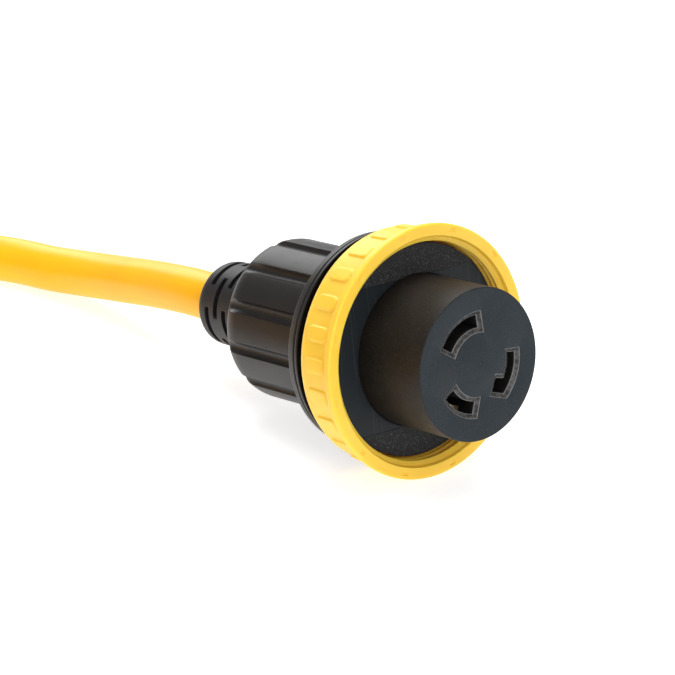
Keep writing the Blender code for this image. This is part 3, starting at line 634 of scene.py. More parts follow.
def nose_finish():
    """The nose's nylon: a spark-eroded grain, browner on the side, bluish on the flat face as painted
    reflection of cool light.
    The slots' lead-ins are lighter, partly polished by the blades that slide in and partly painted
    reflection; their rims and inner edges carry painted highlights, and their depths are painted shade in
    near black."""
    made = Finish("nose_nylon", (0.012, 0.013, 0.014), 0.5, specular_ior_level=0.3)
    right, up, along = made.parts_of(made.turned_to(FACE, AXIS_TURN))
    on_face = along.between(-0.08 * MM, -0.02 * MM)
    slot = 1.0 - (right * right + up * up).root().between(19.5 * MM, 20.5 * MM)
    # Painted highlight on the slot rims.
    painted_rim_highlight = slot * (1.0 - on_face) * along.between(-0.24 * MM, -0.18 * MM)
    # Lead-in: a lighter tone that is partly wear and partly painted reflection.
    lead_in_wear_and_reflection = slot * (1.0 - on_face) * along.between(-1.0 * MM, -0.9 * MM)
    # Painted highlight on the edge where the lead-in meets the wall.
    edge = slot * along.between(-1.25 * MM, -1.1 * MM) * (1.0 - along.between(-0.86 * MM, -0.78 * MM))
    # Slot depths: painted shade in near black.
    depth = slot * (1.0 - along.between(-2.6 * MM, -1.1 * MM))
    flow = made.noise(0.009, 3.0)
    speck = made.noise(0.0005, 3.0, 0.65)
    wear_and_reflection_patches = made.noise(0.0011, 3.0, 0.6).between(0.4, 0.62)
    # The flat face's bluish front tone is a painted reflection of cool light; the side keeps the nylon's
    # browner tone.
    side = made.mix(flow.between(0.3, 0.7), rgba(0.0065, 0.0048, 0.0034), rgba(0.010, 0.0075, 0.0055))
    front = made.mix(flow.between(0.3, 0.7), rgba(0.0045, 0.0105, 0.0155), rgba(0.007, 0.0135, 0.019))
    tone = made.mix(on_face, side, front)
    tone = made.mix(speck.between(0.52, 0.72) * 0.5, tone, rgba(0.035, 0.037, 0.040))
    # These lines paint reflection into the lead-ins, highlights on the rims and inner edges, and shade in the
    # slot depths.
    tone = made.mix(lead_in_wear_and_reflection, tone, made.mix(wear_and_reflection_patches, rgba(0.015, 0.015, 0.016), rgba(0.075, 0.072, 0.070)))
    tone = made.mix(painted_rim_highlight * 0.7, tone, rgba(0.18, 0.18, 0.178))
    tone = made.mix(edge * 0.6, tone, rgba(0.26, 0.255, 0.25))
    made.tint(made.mix(depth, tone, rgba(0.002, 0.002, 0.002)))
    made.rough(0.44 + speck * 0.16 - lead_in_wear_and_reflection * 0.16 + depth * 0.3)
    made.relief(speck, 0.00009)
    return made.material


def gasket_finish():
    """Pressed rubber: a smooth band across the middle, grained above and below it, with cross scoring."""
    made = Finish("gasket_rubber", (0.008, 0.011, 0.013), 0.7, specular_ior_level=0.35)
    right, up, _ = made.parts_of(made.turned_to(FACE, AXIS_TURN))
    outside = (up + right * 0.06).magnitude().between(21.6 * MM, 21.9 * MM)
    grain = made.noise(0.0006, 4.0, 0.7)
    scoring = made.noise(0.0009, 1.0, vector=made.stretched((0.02, 1.0, 0.02)))
    tone = made.mix(outside, rgba(0.0055, 0.0095, 0.0125), rgba(0.014, 0.015, 0.016))
    speckled = made.mix(grain.between(0.5, 0.7) * outside * 0.6, tone, rgba(0.11, 0.11, 0.11))
    scored = scoring.between(0.58, 0.70) * (1.0 - outside) * 0.4
    made.tint(made.mix(scored, speckled, rgba(0.035, 0.037, 0.040)))
    made.rough(0.55 + outside * 0.2 + grain * 0.1)
    before = made.relief(grain * (0.25 + outside * 0.75), 0.00009)
    made.relief(outside, 0.00012, before)
    return made.material


def rubber_finish(name, colour=(0.010, 0.010, 0.0105)):
    """Soft moulded rubber: an even fine grain, a little dust and a broad dull sheen."""
    made = Finish(name, colour, 0.5, specular_ior_level=0.34)
    dust = made.noise(0.006, 5.0, 0.65).between(0.55, 0.75)
    grain = made.noise(0.0004, 2.0)
    made.tint(made.mix(dust * 0.3, rgba(*colour), rgba(0.035, 0.034, 0.032)))
    made.rough(0.42 + grain * 0.1 + dust * 0.15)
    made.relief(grain, 0.00003)
    return made.material


NYLON = nylon_finish()
NOSE = nose_finish()
GASKET = gasket_finish()
RUBBER = rubber_finish("strain_relief_rubber")
WASHER = rubber_finish("washer_rubber", (0.007, 0.007, 0.0075))

# %% [markdown]
# ## The nose
# The nose is a solid cylinder whose face has three curved slots, one with a foot that points inwards.
# A slot's outline is two arcs about the axis joined by straight ends, so its copy further in is found
# exactly: each side moves inwards by the same distance and neighbouring sides are intersected again.
# Copies at rising depths make the rim, the sloping lead-in and the wall. The flat face between the
# slots is triangulated once and stays flat.

# %% Slot outlines
SLOTS = {
    "hot": [
        ("arc", 15.7, -1),
        ("line", (3.0, 8.7), (2.5, 15.5)),
        ("arc", 9.2, 1),
        ("line", (-13.0, 6.9), (-8.2, 3.6)),
    ],
    "neutral": [
        ("arc", 15.6, -1),
        ("line", (-8.2, -3.0), (-13.7, -6.1)),
        ("arc", 9.3, 1),
        ("line", (-2.3, -15.9), (-0.2, -9.6)),
    ],
    "ground": [
        ("arc", 15.9, -1),
        ("line", (10.5, 2.0), (15.9, 1.2)),
        ("arc", 10.4, 1),
        ("line", (5.9, -4.2), (9.3, -5.2)),
        ("line", (3.1, -10.4), (5.9, -4.2)),
        ("line", (10.0, -12.9), (3.1, -10.4)),
    ],
}
SIDE_POINTS = 20


def meeting(first, second, near, inset):
    """Where two sides of a slot meet once both have moved inwards: the root nearest to a known place."""
    if first[0] == "line" and second[0] == "line":
        (p, n), (q, m) = side_line(first, near, inset), side_line(second, near, inset)
        return np.linalg.solve(np.array([n, m]), [n @ p, m @ q])
    arc, straight = (first, second) if first[0] == "arc" else (second, first)
    radius = arc[1] + arc[2] * inset
    p, n = side_line(straight, near, inset)
    foot = n * (n @ p)
    half = math.sqrt(max(radius**2 - foot @ foot, 0.0))
    ways = [foot + half * np.array([-n[1], n[0]]), foot - half * np.array([-n[1], n[0]])]
    return min(ways, key=lambda way: np.linalg.norm(way - near))


def side_line(side, near, inset):
    """A straight side as a point and a normal that looks into the slot, moved inwards."""
    a, b = np.array(side[1]), np.array(side[2])
    normal = np.array([a[1] - b[1], b[0] - a[0]]) / np.linalg.norm(b - a)
    inward = normal if side_sign[id(side)] > 0 else -normal
    return a + inward * inset, inward


def corner_guess(first, second):
    """A place near the corner of two sides: the end they share, or the end of the straight one by the arc."""
    straight = first if first[0] == "line" else second
    arc = second if first[0] == "line" else first
    ends = [np.array(straight[1]), np.array(straight[2])]
    if arc[0] == "line":
        others = [np.array(arc[1]), np.array(arc[2])]
        pairs = ((e, o) for e in ends for o in others)
        return min(pairs, key=lambda pair: np.linalg.norm(pair[0] - pair[1]))[0]
    return min(ends, key=lambda end: abs(np.linalg.norm(end) - arc[1]))


side_sign = {}
for sides in SLOTS.values():
    guesses = [corner_guess(a, b) for a, b in zip(sides, sides[1:] + sides[:1])]
    middle = np.mean(guesses, axis=0) if len(sides) == 4 else np.array([11.0, -8.0])
    middle = middle / np.linalg.norm(middle) * (12.6 if len(sides) == 4 else 13.0)
    for side in sides:
        if side[0] == "line":
            a, b = np.array(side[1]), np.array(side[2])
            normal = np.array([a[1] - b[1], b[0] - a[0]])
            side_sign[id(side)] = float(np.sign(normal @ (middle - a)))


def slot_outline(sides, inset):
    """The closed outline of a slot in millimetres, moved inwards: the same number of points on every side."""
    following = sides[1:] + sides[:1]
    ends = [meeting(a, b, corner_guess(a, b), inset) for a, b in zip(sides, following)]
    share = np.linspace(0.0, 1.0, SIDE_POINTS, endpoint=False)[:, None]
    points = []
    for k, side in enumerate(sides):
        a, b = ends[k - 1], ends[k]
        if side[0] == "line":
            points.append(a + (b - a) * share)
            continue
        start, end = math.atan2(a[1], a[0]), math.atan2(b[1], b[0])
        end = start + (end - start + math.pi) % (2 * math.pi) - math.pi
        turn = start + (end - start) * share
        points.append((side[1] + side[2] * inset) * np.concatenate([np.cos(turn), np.sin(turn)], axis=1))
    return np.concatenate(points)


outline = slot_outline(SLOTS["ground"], 0.0)
print("ground slot", np.round(outline.min(axis=0), 1), np.round(outline.max(axis=0), 1), "mm")

# %% The nose as one closed surface
NOSE_R = 22.25
RIM_STEPS = (
    (-0.12, 0.0), (0.0, -0.03), (0.08, -0.12), (1.25, -0.85), (1.33, -0.92), (1.36, -1.1),
    (1.36, -4.0), (1.36, -57.7),
)
NOSE_PROFILE = rounded(
    [
        (NOSE_R - 0.45, 0.0, 0.0),
        (NOSE_R, 0.0, 0.4),
        (NOSE_R, -47.0, 0.3),
        (19.8, -47.0, 0.0), (19.8, -58.0, 0.4), (19.0, -58.0, 0.0),
    ],
    spacing=1.5 * MM,
    closed=False,
)


def inside_of(outline, points):
    """Which points lie inside an outline: the count of sides that a ray to the right crosses is odd."""
    a, b = outline, np.roll(outline, -1, axis=0)
    x, y = points[:, None, 0], points[:, None, 1]
    straddles = (a[:, 1] > y) != (b[:, 1] > y)
    with np.errstate(divide="ignore", invalid="ignore"):
        crossing = a[:, 0] + (y - a[:, 1]) * (b[:, 0] - a[:, 0]) / (b[:, 1] - a[:, 1])
    return (straddles & (x < crossing)).sum(axis=1) % 2 == 1


def plate_with_holes(loops):
    """Triangles that fill the first outline and leave out the others, as numbers of the outlines' points."""
    points = np.concatenate(loops)
    starts = np.concatenate([[0], np.cumsum([len(loop) for loop in loops])])
    sides = [(s + k, s + (k + 1) % (e - s)) for s, e in zip(starts, starts[1:]) for k in range(e - s)]
    found, _, faces, origin, _, _ = delaunay_2d_cdt([Vector(p) for p in points], sides, [], 0, 1e-7)
    own = np.array([o[0] for o in origin])
    triangles = own[np.array(faces)]
    middles = points[triangles].mean(axis=1)
    keep = inside_of(loops[0], middles)
    for hole in loops[1:]:
        keep &= ~inside_of(hole, middles)
    return triangles[keep]


def nose():
    """The nose: face plate, rounded edge, side, back plate, and a lofted wall through each slot."""
    columns = 144
    bearings = np.arange(columns) * 360.0 / columns
    shell = around(NOSE_PROFILE[:, :1], bearings[None, :], NOSE_PROFILE[:, 1:]).reshape(-1, 3)
    rows = len(NOSE_PROFILE)
    corners, faces = [shell], [grid(rows, columns)]
    first = rows * columns
    front, back = [np.arange(columns)], [np.arange(columns) + (rows - 1) * columns]
    edge = np.stack([np.cos(np.radians(bearings)), np.sin(np.radians(bearings))], axis=1)
    flat_front, flat_back = [edge * (NOSE_R - 0.45)], [edge * 19.0]
    for sides in SLOTS.values():
        loops = [slot_outline(sides, inset) for inset, _ in RIM_STEPS]
        count = len(loops[0])
        for loop, (_, depth) in zip(loops, RIM_STEPS[:-1] + ((0, -58.0),)):
            corners.append(on_axis(loop[:, 0] * MM, loop[:, 1] * MM, np.full(count, depth * MM)))
        faces.append(grid(len(loops), count, first=first))
        front.append(first + np.arange(count))
        back.append(first + (len(loops) - 1) * count + np.arange(count))
        flat_front.append(loops[0])
        flat_back.append(loops[-1])
        first += len(loops) * count
    front_plate = np.concatenate(front)[plate_with_holes(flat_front)]
    back_plate = np.concatenate(back)[plate_with_holes(flat_back)]
    return np.concatenate(corners), faces, front_plate, back_plate


NOSE_CORNERS, NOSE_FACES, FRONT_PLATE, BACK_PLATE = nose()
nose_faces = [*NOSE_FACES, FRONT_PLATE, BACK_PLATE]
nose_piece = make_piece("nose", NOSE_CORNERS, nose_faces, NOSE, sharp=30.0, flat=(4, 5), recalculate=True)
stands_for(nose_piece, "root", "contact_housing", "contact_housing")

# %% [markdown]
# ## Gasket and thrust washer
# Behind the nose's foot lies a flat rubber gasket, held by a collar. The coupling ring hooks behind
# the collar and slides a little on it, and a rubber washer follows the ring.

# %% The pieces round the nose's foot
ROUND = np.arange(160) * 360.0 / 160
gasket = turned(
    "gasket",
    rounded(
        [(31.3, -26.0, 0.25), (31.3, -28.3, 0.25), (22.4, -28.3, 0.1), (22.4, -26.0, 0.1)],
        spacing=1.2 * MM,
    ),
    ROUND,
    GASKET,
)
stands_for(gasket, "root", "gasket", "face_gasket")
washer = turned(
    "washer",
    rounded([(32.6, -37.5, 0.3), (32.6, -38.7, 0.3), (29.3, -38.7, 0.15), (29.3, -37.5, 0.15)]),
    ROUND,
    WASHER,
)
stands_for(washer, "washer_carriage", "washer", "thrust_washer")

# %% [markdown]
# ## The coupling ring
# The yellow ring is moulded in one piece: a rounded lip in front, 24 low pads for the fingers, and a
# right-hand thread inside that screws onto the inlet. The pads and the thread are changes of radius.
# A pad is a box with round corners, whose edge is eased over its distance from the outline. The
# thread is a flat-topped wave along the axis that moves back by one pitch in each turn, and it fades
# out at both ends.

# %% The yellow finish
def yellow_finish():
    """Moulded yellow nylon: even colour with faint flow, fine grain and small handling marks."""
    made = Finish(
        "yellow_nylon",
        (0.95, 0.60, 0.065),
        0.38,
        subsurface_weight=0.3,
        subsurface_radius=(1.0, 0.55, 0.12),
        subsurface_scale=0.004,
        specular_ior_level=0.4,
    )
    flow = made.noise(0.014, 3.0)
    grain = made.noise(0.0005, 3.0)
    marks = made.scratches(0.011, made.stretched((1.0, 1.0, 0.4))) * made.noise(0.01).between(0.55, 0.7)
    tone = made.mix(flow.between(0.3, 0.7), rgba(0.97, 0.63, 0.062), rgba(0.95, 0.585, 0.045))
    made.tint(made.mix(marks * 0.25, tone, rgba(0.78, 0.50, 0.12)))
    made.rough(0.36 + grain * 0.1 + marks * 0.15)
    made.relief(grain, 0.00002)
    return made.material


YELLOW = yellow_finish()

# %% The ring
PITCH = 2.1 * MM
THREAD = (-33.9 * MM, -23.3 * MM)
THREAD_DEPTH = 0.7 * MM
PAD_FIRST, PAD_COUNT, PAD_HALF = 9.0, 24, 3.5
PAD_ALONG = (-34.0 * MM, -26.0 * MM)
PAD_RISE = 0.62 * MM
PAD_CORNER, PAD_BEVEL = 1.3 * MM, 0.75 * MM
BARREL_R, BARREL_FROM, LIP_REAR = 35.0 * MM, 34.3 * MM, -23.0 * MM
BORE = (31.9 * MM, 32.4 * MM)
BORE_REAR = -34.0 * MM
FLANK, CREST = 0.34, 0.18
THREAD_RUN_OUT = (0.8 * MM, 1.2 * MM)
MARK_COUNT, MARK_HALF, MARK_EDGE = 12, 1.6, 0.7
MARK_R, MARK_HALF_WIDE, MARK_EASE = 35.62 * MM, 0.5 * MM, 0.35 * MM
MARK_SUNK, MARK_FROM = 0.35 * MM, -21.6 * MM


def box_share(off, half, edge):
    """1 inside a span, 0 outside and eased over an edge centred on its ends."""
    return eased((half - np.abs(off)) / edge + 0.5)


def ring_radius(radius, along, bearing):
    """The ring's own radius, plus the pads on the barrel and the thread's grooves in the bore."""
    off = np.radians(np.abs(off_centre(bearing, PAD_FIRST, PAD_COUNT))) * radius
    half_wide, half_long = math.radians(PAD_HALF) * BARREL_R, (PAD_ALONG[1] - PAD_ALONG[0]) / 2
    wide = np.maximum(off - half_wide + PAD_CORNER, 0.0)
    long = np.maximum(np.abs(along - sum(PAD_ALONG) / 2) - half_long + PAD_CORNER, 0.0)
    pad = eased(0.5 - (np.hypot(wide, long) - PAD_CORNER) / PAD_BEVEL)
    outside = (radius > BARREL_FROM) & (along < LIP_REAR)
    phase = ((along - THREAD[0]) / PITCH - bearing / 360.0) % 1.0
    groove = eased((0.5 - np.abs(phase - 0.5)) / FLANK - CREST)
    fade = eased((along - THREAD[0]) / THREAD_RUN_OUT[0]) * eased((THREAD[1] - along) / THREAD_RUN_OUT[1])
    thread = (radius > BORE[0]) & (radius < BORE[1]) & (along > BORE_REAR)
    return radius + outside * pad * PAD_RISE + thread * groove * fade * THREAD_DEPTH


RING_PROFILE = np.concatenate(
    [
        rounded(
            [
                (33.9, -21.2, 0.3), (35.0, -21.2, 0.0), (35.25, -21.2, 0.0), (36.0, -21.2, 0.0),
                (36.25, -21.2, 0.0), (37.4, -21.2, 0.75), (37.3, -23.6, 0.9), (35.3, -24.9, 0.8),
                (34.9, -35.9, 0.6), (34.3, -37.2, 0.35), (29.3, -37.2, 0.3), (29.3, -34.0, 0.3),
                (32.1, -34.0, 0.2),
            ],
            spacing=0.45 * MM,
            steps=7,
            closed=False,
        ),
        np.stack([np.full(60, 32.1 * MM), np.linspace(-33.7, -23.2, 60) * MM], axis=1),
        rounded(
            [(32.3, -23.05, 0.0), (33.5, -22.2, 0.3), (33.75, -21.35, 0.0)],
            spacing=0.4 * MM,
            closed=False,
        ),
    ]
)
HALF_OFFSETS = np.array([1.35, 1.75, 2.2, 2.7, 3.1, 3.4, 3.7, 4.0, 4.4, 4.9, 6.0])
RING_BEARINGS = spread_bearings(
    PAD_FIRST, PAD_COUNT, [-7.5, *-HALF_OFFSETS[::-1], 0.0, *HALF_OFFSETS]
)


def with_marks(radius, along, bearing):
    """Where the lip carries a small sunk mark: how far it lies behind the lip's front."""
    near = box_share(off_centre(bearing, PAD_FIRST, MARK_COUNT), MARK_HALF, MARK_EDGE)
    across = box_share(radius - MARK_R, MARK_HALF_WIDE, MARK_EASE)
    return near * across * MARK_SUNK * (along > MARK_FROM)


def place_ring(radius, bearing, along):
    """The usual place round the axis, with the lip's marks pressed in."""
    return around(radius, bearing, along - with_marks(radius, along, bearing))


ring = turned("coupling_ring", RING_PROFILE, RING_BEARINGS, YELLOW, place_ring, ring_radius, sharp=35.0)
stands_for(ring, "coupling_ring", "locking_ring", "locking_ring")

# %% [markdown]
# ## The rear shell
# A barrel with twelve lengthwise flutes for grip. A flute is cut by a round rod that lies along the
# shell, so each flute runs out by itself where the shoulder curves in. From the axis, the rod's near
# side lies at Rc cos d less the root of f squared less (Rc sin d) squared, for the rod's centre radius
# Rc, its own radius f and the angle d from its bearing. The shell takes the smaller of its own radius
# and that, with the edge eased.

# %% The rear shell
FLUTE_FIRST, FLUTE_COUNT = 6.3, 12
FLUTE_R, FLUTE_CENTRE = 2.0 * MM, 24.7 * MM
FLUTE_ENDS = (-90.0 * MM, -46.0 * MM)
EDGE_EASE = 0.10 * MM
SHELL_INNER, SHELL_OUTER, SHELL_REAR = 16.0 * MM, 25.2 * MM, -87.7 * MM
WALL_FROM, SHOULDER_START = 21.0 * MM, -84.5 * MM


def fluted(radius, along, bearing):
    """The shell's radius with its flutes."""
    off = np.radians(off_centre(bearing, FLUTE_FIRST, FLUTE_COUNT))
    past = np.maximum(0.0, FLUTE_ENDS[0] + FLUTE_R - along)
    size = FLUTE_R**2 - past**2
    under = size - (FLUTE_CENTRE * np.sin(off)) ** 2
    near_side = FLUTE_CENTRE * np.cos(off) - np.sqrt(np.maximum(under, 0.0))
    gap = np.sqrt((radius * np.cos(off) - FLUTE_CENTRE) ** 2 + (radius * np.sin(off)) ** 2 + past**2)
    depth = np.where((gap < FLUTE_R) & (under > 0), radius - near_side, FLUTE_R - gap)
    depth = np.maximum(depth, -4 * EDGE_EASE)
    eased_depth = (depth + np.sqrt(depth**2 + EDGE_EASE**2)) / 2 * (depth > -3.9 * EDGE_EASE)
    in_reach = (along < FLUTE_ENDS[1]) & (along > SHELL_REAR)
    outside = (radius > SHELL_INNER) & (radius < SHELL_OUTER) & in_reach
    outer = outside & ((radius > WALL_FROM) | (along < SHOULDER_START))
    return radius - np.where(outer, eased_depth, 0.0)


SHELL_PROFILE = rounded(
    [
        (32.5, -41.5, 0.4), (32.35, -42.7, 0.25), (31.75, -42.9, 0.0), (31.75, -43.3, 0.0),
        (32.2, -43.5, 0.25), (31.7, -46.3, 0.6), (25.6, -46.3, 0.3), (24.4, -47.6, 0.7),
        (24.4, -87.8, 6.8), (13.9, -87.8, 0.5), (13.9, -84.2, 0.0), (17.5, -84.2, 0.3),
        (20.3, -81.4, 0.5), (20.3, -47.3, 0.0), (22.55, -47.3, 0.0), (22.55, -41.5, 0.3),
    ],
    spacing=0.75 * MM,
    steps=9,
)
SHELL_BEARINGS = spread_bearings(
    FLUTE_FIRST, FLUTE_COUNT, [*np.arange(-6.0, 6.01, 0.6), *np.arange(8.0, 23.0, 2.0)]
)
shell = turned("rear_shell_body", SHELL_PROFILE, SHELL_BEARINGS, NYLON, change=fluted, sharp=50.0)
stands_for(shell, "root", "rear_shell", "rear_shell")

# %% [markdown]
# ## The strain relief
# The soft boot bends with the cord because rows of slots run round it, each row's slots over the
# bridges of the last. A slot is a box in bearing and along, eased at its edges, taken off the radius.

# %% The strain relief
RELIEF_ROWS = np.array([-108.6, -104.4, -100.2, -96.0]) * MM
SLOT_HALF, SLOT_DEPTH = 0.85 * MM, 2.7 * MM
SLOT_FIRST, SLOT_COUNT, SLOT_SPAN_HALF = 108.0, 4, 28.0
BOOT_WALL_FROM, SLOTS_END = 11.5 * MM, -93.5 * MM


def slotted(radius, along, bearing):
    """The boot's radius with every other row of slots turned by half a step."""
    taken = 0.0
    for k, row in enumerate(RELIEF_ROWS):
        first = SLOT_FIRST + (k % 2) * 180.0 / SLOT_COUNT
        span = box_share(off_centre(bearing, first, SLOT_COUNT), SLOT_SPAN_HALF, 2.2)
        taken = taken + span * box_share(along - row, SLOT_HALF, 0.3 * MM)
    return radius - taken * SLOT_DEPTH * (radius > BOOT_WALL_FROM) * (along < SLOTS_END)


BOOT_OUTLINE = rounded(
    [
        (15.4, -79.7, 0.2), (15.4, -83.9, 0.3), (13.6, -83.9, 0.1),
        (12.95, -114.5, 3.6), (7.8, -114.5, 0.6), (7.8, -79.7, 0.1),
    ],
    spacing=0.8 * MM,
    steps=10,
)
NEAR_EDGE = np.array([0.3, 0.7, 0.78, 0.85, 0.92, 1.0, 1.15])
at_edges = (RELIEF_ROWS[:, None] + np.array([*-NEAR_EDGE[::-1], *NEAR_EDGE]) * MM).ravel()
at_edges = np.sort(at_edges)[::-1]
boot_r, boot_along = BOOT_OUTLINE[:, 0], BOOT_OUTLINE[:, 1]
side = (boot_r > 12.6 * MM) & (boot_along < -84.2 * MM) & (boot_along > -110.5 * MM)
slope = (12.95 - 13.6) / (-114.5 + 83.9)
wall = np.stack([13.6 * MM + (at_edges + 83.9 * MM) * slope, at_edges], axis=1)
start = int(np.flatnonzero(side)[0])
BOOT_PROFILE = np.concatenate([BOOT_OUTLINE[:start], wall, BOOT_OUTLINE[start:][~side[start:]]])
boot = turned("strain_relief_boot", BOOT_PROFILE, np.arange(288) * 1.25, RUBBER, change=slotted, sharp=50.0)
stands_for(boot, "root", "strain_relief", "strain_relief")

# %% [markdown]
# ## Ties round the coil
# Three hook-and-loop straps hold the put-away turns. A strap's thin section is carried once round the
# outline of the bundle and a little further, over its own start, where it sticks.

# %% The strap's finish and shape
def strap_finish():
    """Woven hook-and-loop: two crossed rows of threads in the map's own metres, and a fuzzy dull face."""
    made = Finish("strap_weave", (0.02, 0.02, 0.021), 0.85, sheen_weight=0.3, sheen_roughness=0.5)
    across, along, _ = made.parts_of(made.node("UVMap", {"uv_map": "weave"}).outputs[0])
    threads = (across * (2 * np.pi / 0.0011)).sine() * 0.5 + (along * (2 * np.pi / 0.0014)).sine() * 0.5
    fuzz = made.noise(0.0012, 4.0, 0.7)
    lint = made.noise(0.004, 5.0, 0.75).between(0.66, 0.74)
    tone = made.mix(threads.between(-0.6, 0.8), rgba(0.010, 0.010, 0.011), rgba(0.032, 0.032, 0.034))
    made.tint(made.mix(lint * 0.4, tone, rgba(0.12, 0.12, 0.12)))
    made.rough(0.78 + fuzz * 0.15)
    made.relief(threads * 0.3 + fuzz * 0.7, 0.00022)
    return made.material


STRAP = strap_finish()
STRAP_WIDE, STRAP_THICK = 20.0 * MM, 1.3 * MM
STRAP_OVERLAP_ROWS, STRAP_LIFT, STRAP_GAP = 11, 12 * MM, 0.15 * MM
TIE_BEARINGS = (20.0, 85.0, 300.0)
BUNDLE = rounded(
    [
        (112.2, 14.0, 0.0), (112.2, 43.8, 6.0), (82.3, 61.1, 5.0), (61.6, 61.1, 4.0),
        (49.6, 40.4, 4.0), (49.6, 0.95, 6.5), (112.2, 0.95, 6.5),
    ],
    spacing=2.5 * MM,
    steps=8,
)


def strap(name, bearing):
    """A strap: its section, a rounded box, carried round the bundle and about 25 mm over its own start."""
    path = np.concatenate([BUNDLE, BUNDLE[:STRAP_OVERLAP_ROWS]])
    step = np.linalg.norm(np.diff(path, axis=0, append=path[-1:]), axis=1)
    far = np.concatenate([[0.0], np.cumsum(step)[:-1]])
    ahead = np.gradient(path, axis=0)
    ahead /= np.linalg.norm(ahead, axis=1)[:, None]
    away = np.stack([ahead[:, 1], -ahead[:, 0]], axis=1)
    once = far[len(BUNDLE)]
    lift = eased((far - once + STRAP_LIFT) / STRAP_LIFT) * (STRAP_THICK + STRAP_GAP)
    path = path + away * lift[:, None]
    turn = np.linspace(0.0, 2 * np.pi, 20, endpoint=False)
    flat = squared_off(np.cos(turn), 0.35) * STRAP_WIDE / 2
    thick = squared_off(np.sin(turn), 0.7) * STRAP_THICK / 2
    radius = path[:, :1] + away[:, :1] * thick
    height = path[:, 1:] + away[:, 1:] * thick
    out = np.array([math.cos(math.radians(bearing)), math.sin(math.radians(bearing))])
    beside = np.array([-out[1], out[0]])
    place = COIL_CENTRE + radius[..., None] * out + flat[None, :, None] * beside
    corners = np.concatenate([place, height[..., None]], axis=-1).reshape(-1, 3)
    rows, sides = len(path), len(turn)
    ends = corners.reshape(rows, sides, 3)[[0, -1]].mean(axis=1)
    made = make_piece(name, np.concatenate([corners, ends]), capped(rows, sides), STRAP, sharp=60.0)
    index = corner_numbers(made)
    row = np.minimum(index // sides, rows - 1)
    add_map(made, "weave", np.stack([flat[index % sides] + thick[index % sides], far[row]], axis=1))
    return made


for number, bearing in enumerate(TIE_BEARINGS, 1):
    made = strap(f"strap_{number}", bearing)
    stands_for(made, "root", "tie", f"coil_tie_{number}")

# %% [markdown]
# ## The plug on the far end
# The other end lies out of view. A cord of this kind ends in a moulded three-pin plug: a yellow
# grip with finger ribs, a short boot, a black insert, two flat blades at a slant and a round pin.

# %% The plug
def in_plug(right, up, along):
    """World places from right, up and along in the plug's own axes, 0 along at its front edge."""
    flat = PLUG_FACE + right[..., None] * PLUG_RIGHT
    return flat + up[..., None] * UPWARD + along[..., None] * PLUG_AHEAD


def on_plug(radius, bearing, along):
    """The same from polar numbers, as for the connector."""
    radius, turn, along = np.broadcast_arrays(radius, np.radians(bearing), along)
    return in_plug(radius * np.cos(turn), radius * np.sin(turn), along)


RIB_COUNT, RIB_HEIGHT = 18, 0.9 * MM


def grip_radius(radius, along, bearing):
    """Finger ribs: soft ribs evenly round the middle of the grip, between lands sunk by RIB_HEIGHT."""
    band = box_share(along + 24 * MM, 9 * MM, 5 * MM) * (radius > 20.5 * MM)
    wave = 0.5 + 0.5 * np.cos(np.radians(off_centre(bearing, 0.0, RIB_COUNT)) * RIB_COUNT)
    return radius - band * (RIB_HEIGHT - RIB_HEIGHT * wave)


def ridged(radius, along, bearing):
    """The plug boot's radius with a shallow groove every 5 mm along its middle."""
    groove = box_share((-along - 46 * MM) % (5 * MM) - 2.5 * MM, 0.8 * MM, 0.8 * MM)
    return radius - 0.8 * MM * (radius > 9.4 * MM) * groove * (along > -68.5 * MM) * (along < -46.5 * MM)


PLUG_PROFILE = rounded(
    [
        (22.0, 0.0, 0.8), (22.0, -44.0, 7.5), (7.8, -44.0, 0.6), (7.8, -22.0, 0.0), (17.8, -18.0, 0.3),
        (17.8, 0.0, 0.3),
    ],
    spacing=1.0 * MM,
    steps=9,
)
grip = turned("plug_grip", PLUG_PROFILE, np.arange(180) * 2.0, YELLOW, on_plug, grip_radius)
stands_for(grip, "root", "plug_body", "plug_body")
plug_boot = turned(
    "plug_boot",
    rounded(
        [(12.4, -44.3, 0.6), (9.6, -70.0, 1.6), (7.8, -70.0, 0.3), (7.8, -44.3, 0.3)],
        spacing=1.0 * MM,
        steps=6,
    ),
    np.arange(96) * 3.75,
    RUBBER,
    on_plug,
    ridged,
)
stands_for(plug_boot, "root", "plug_relief", "plug_relief")
insert = turned(
    "plug_face_disc",
    rounded(
        [(0.0, -0.4, 0.0), (16.4, -0.4, 0.3), (17.5, -1.2, 0.3), (17.5, -6.0, 0.3), (0.0, -6.0, 0.0)],
        closed=False,
    ),
    ROUND,
    NOSE,
    on_plug,
    closed=False,
)
stands_for(insert, "root", "plug_insert", "plug_insert")


TAPER_START, TAPER_TAKES = 0.86, 0.84


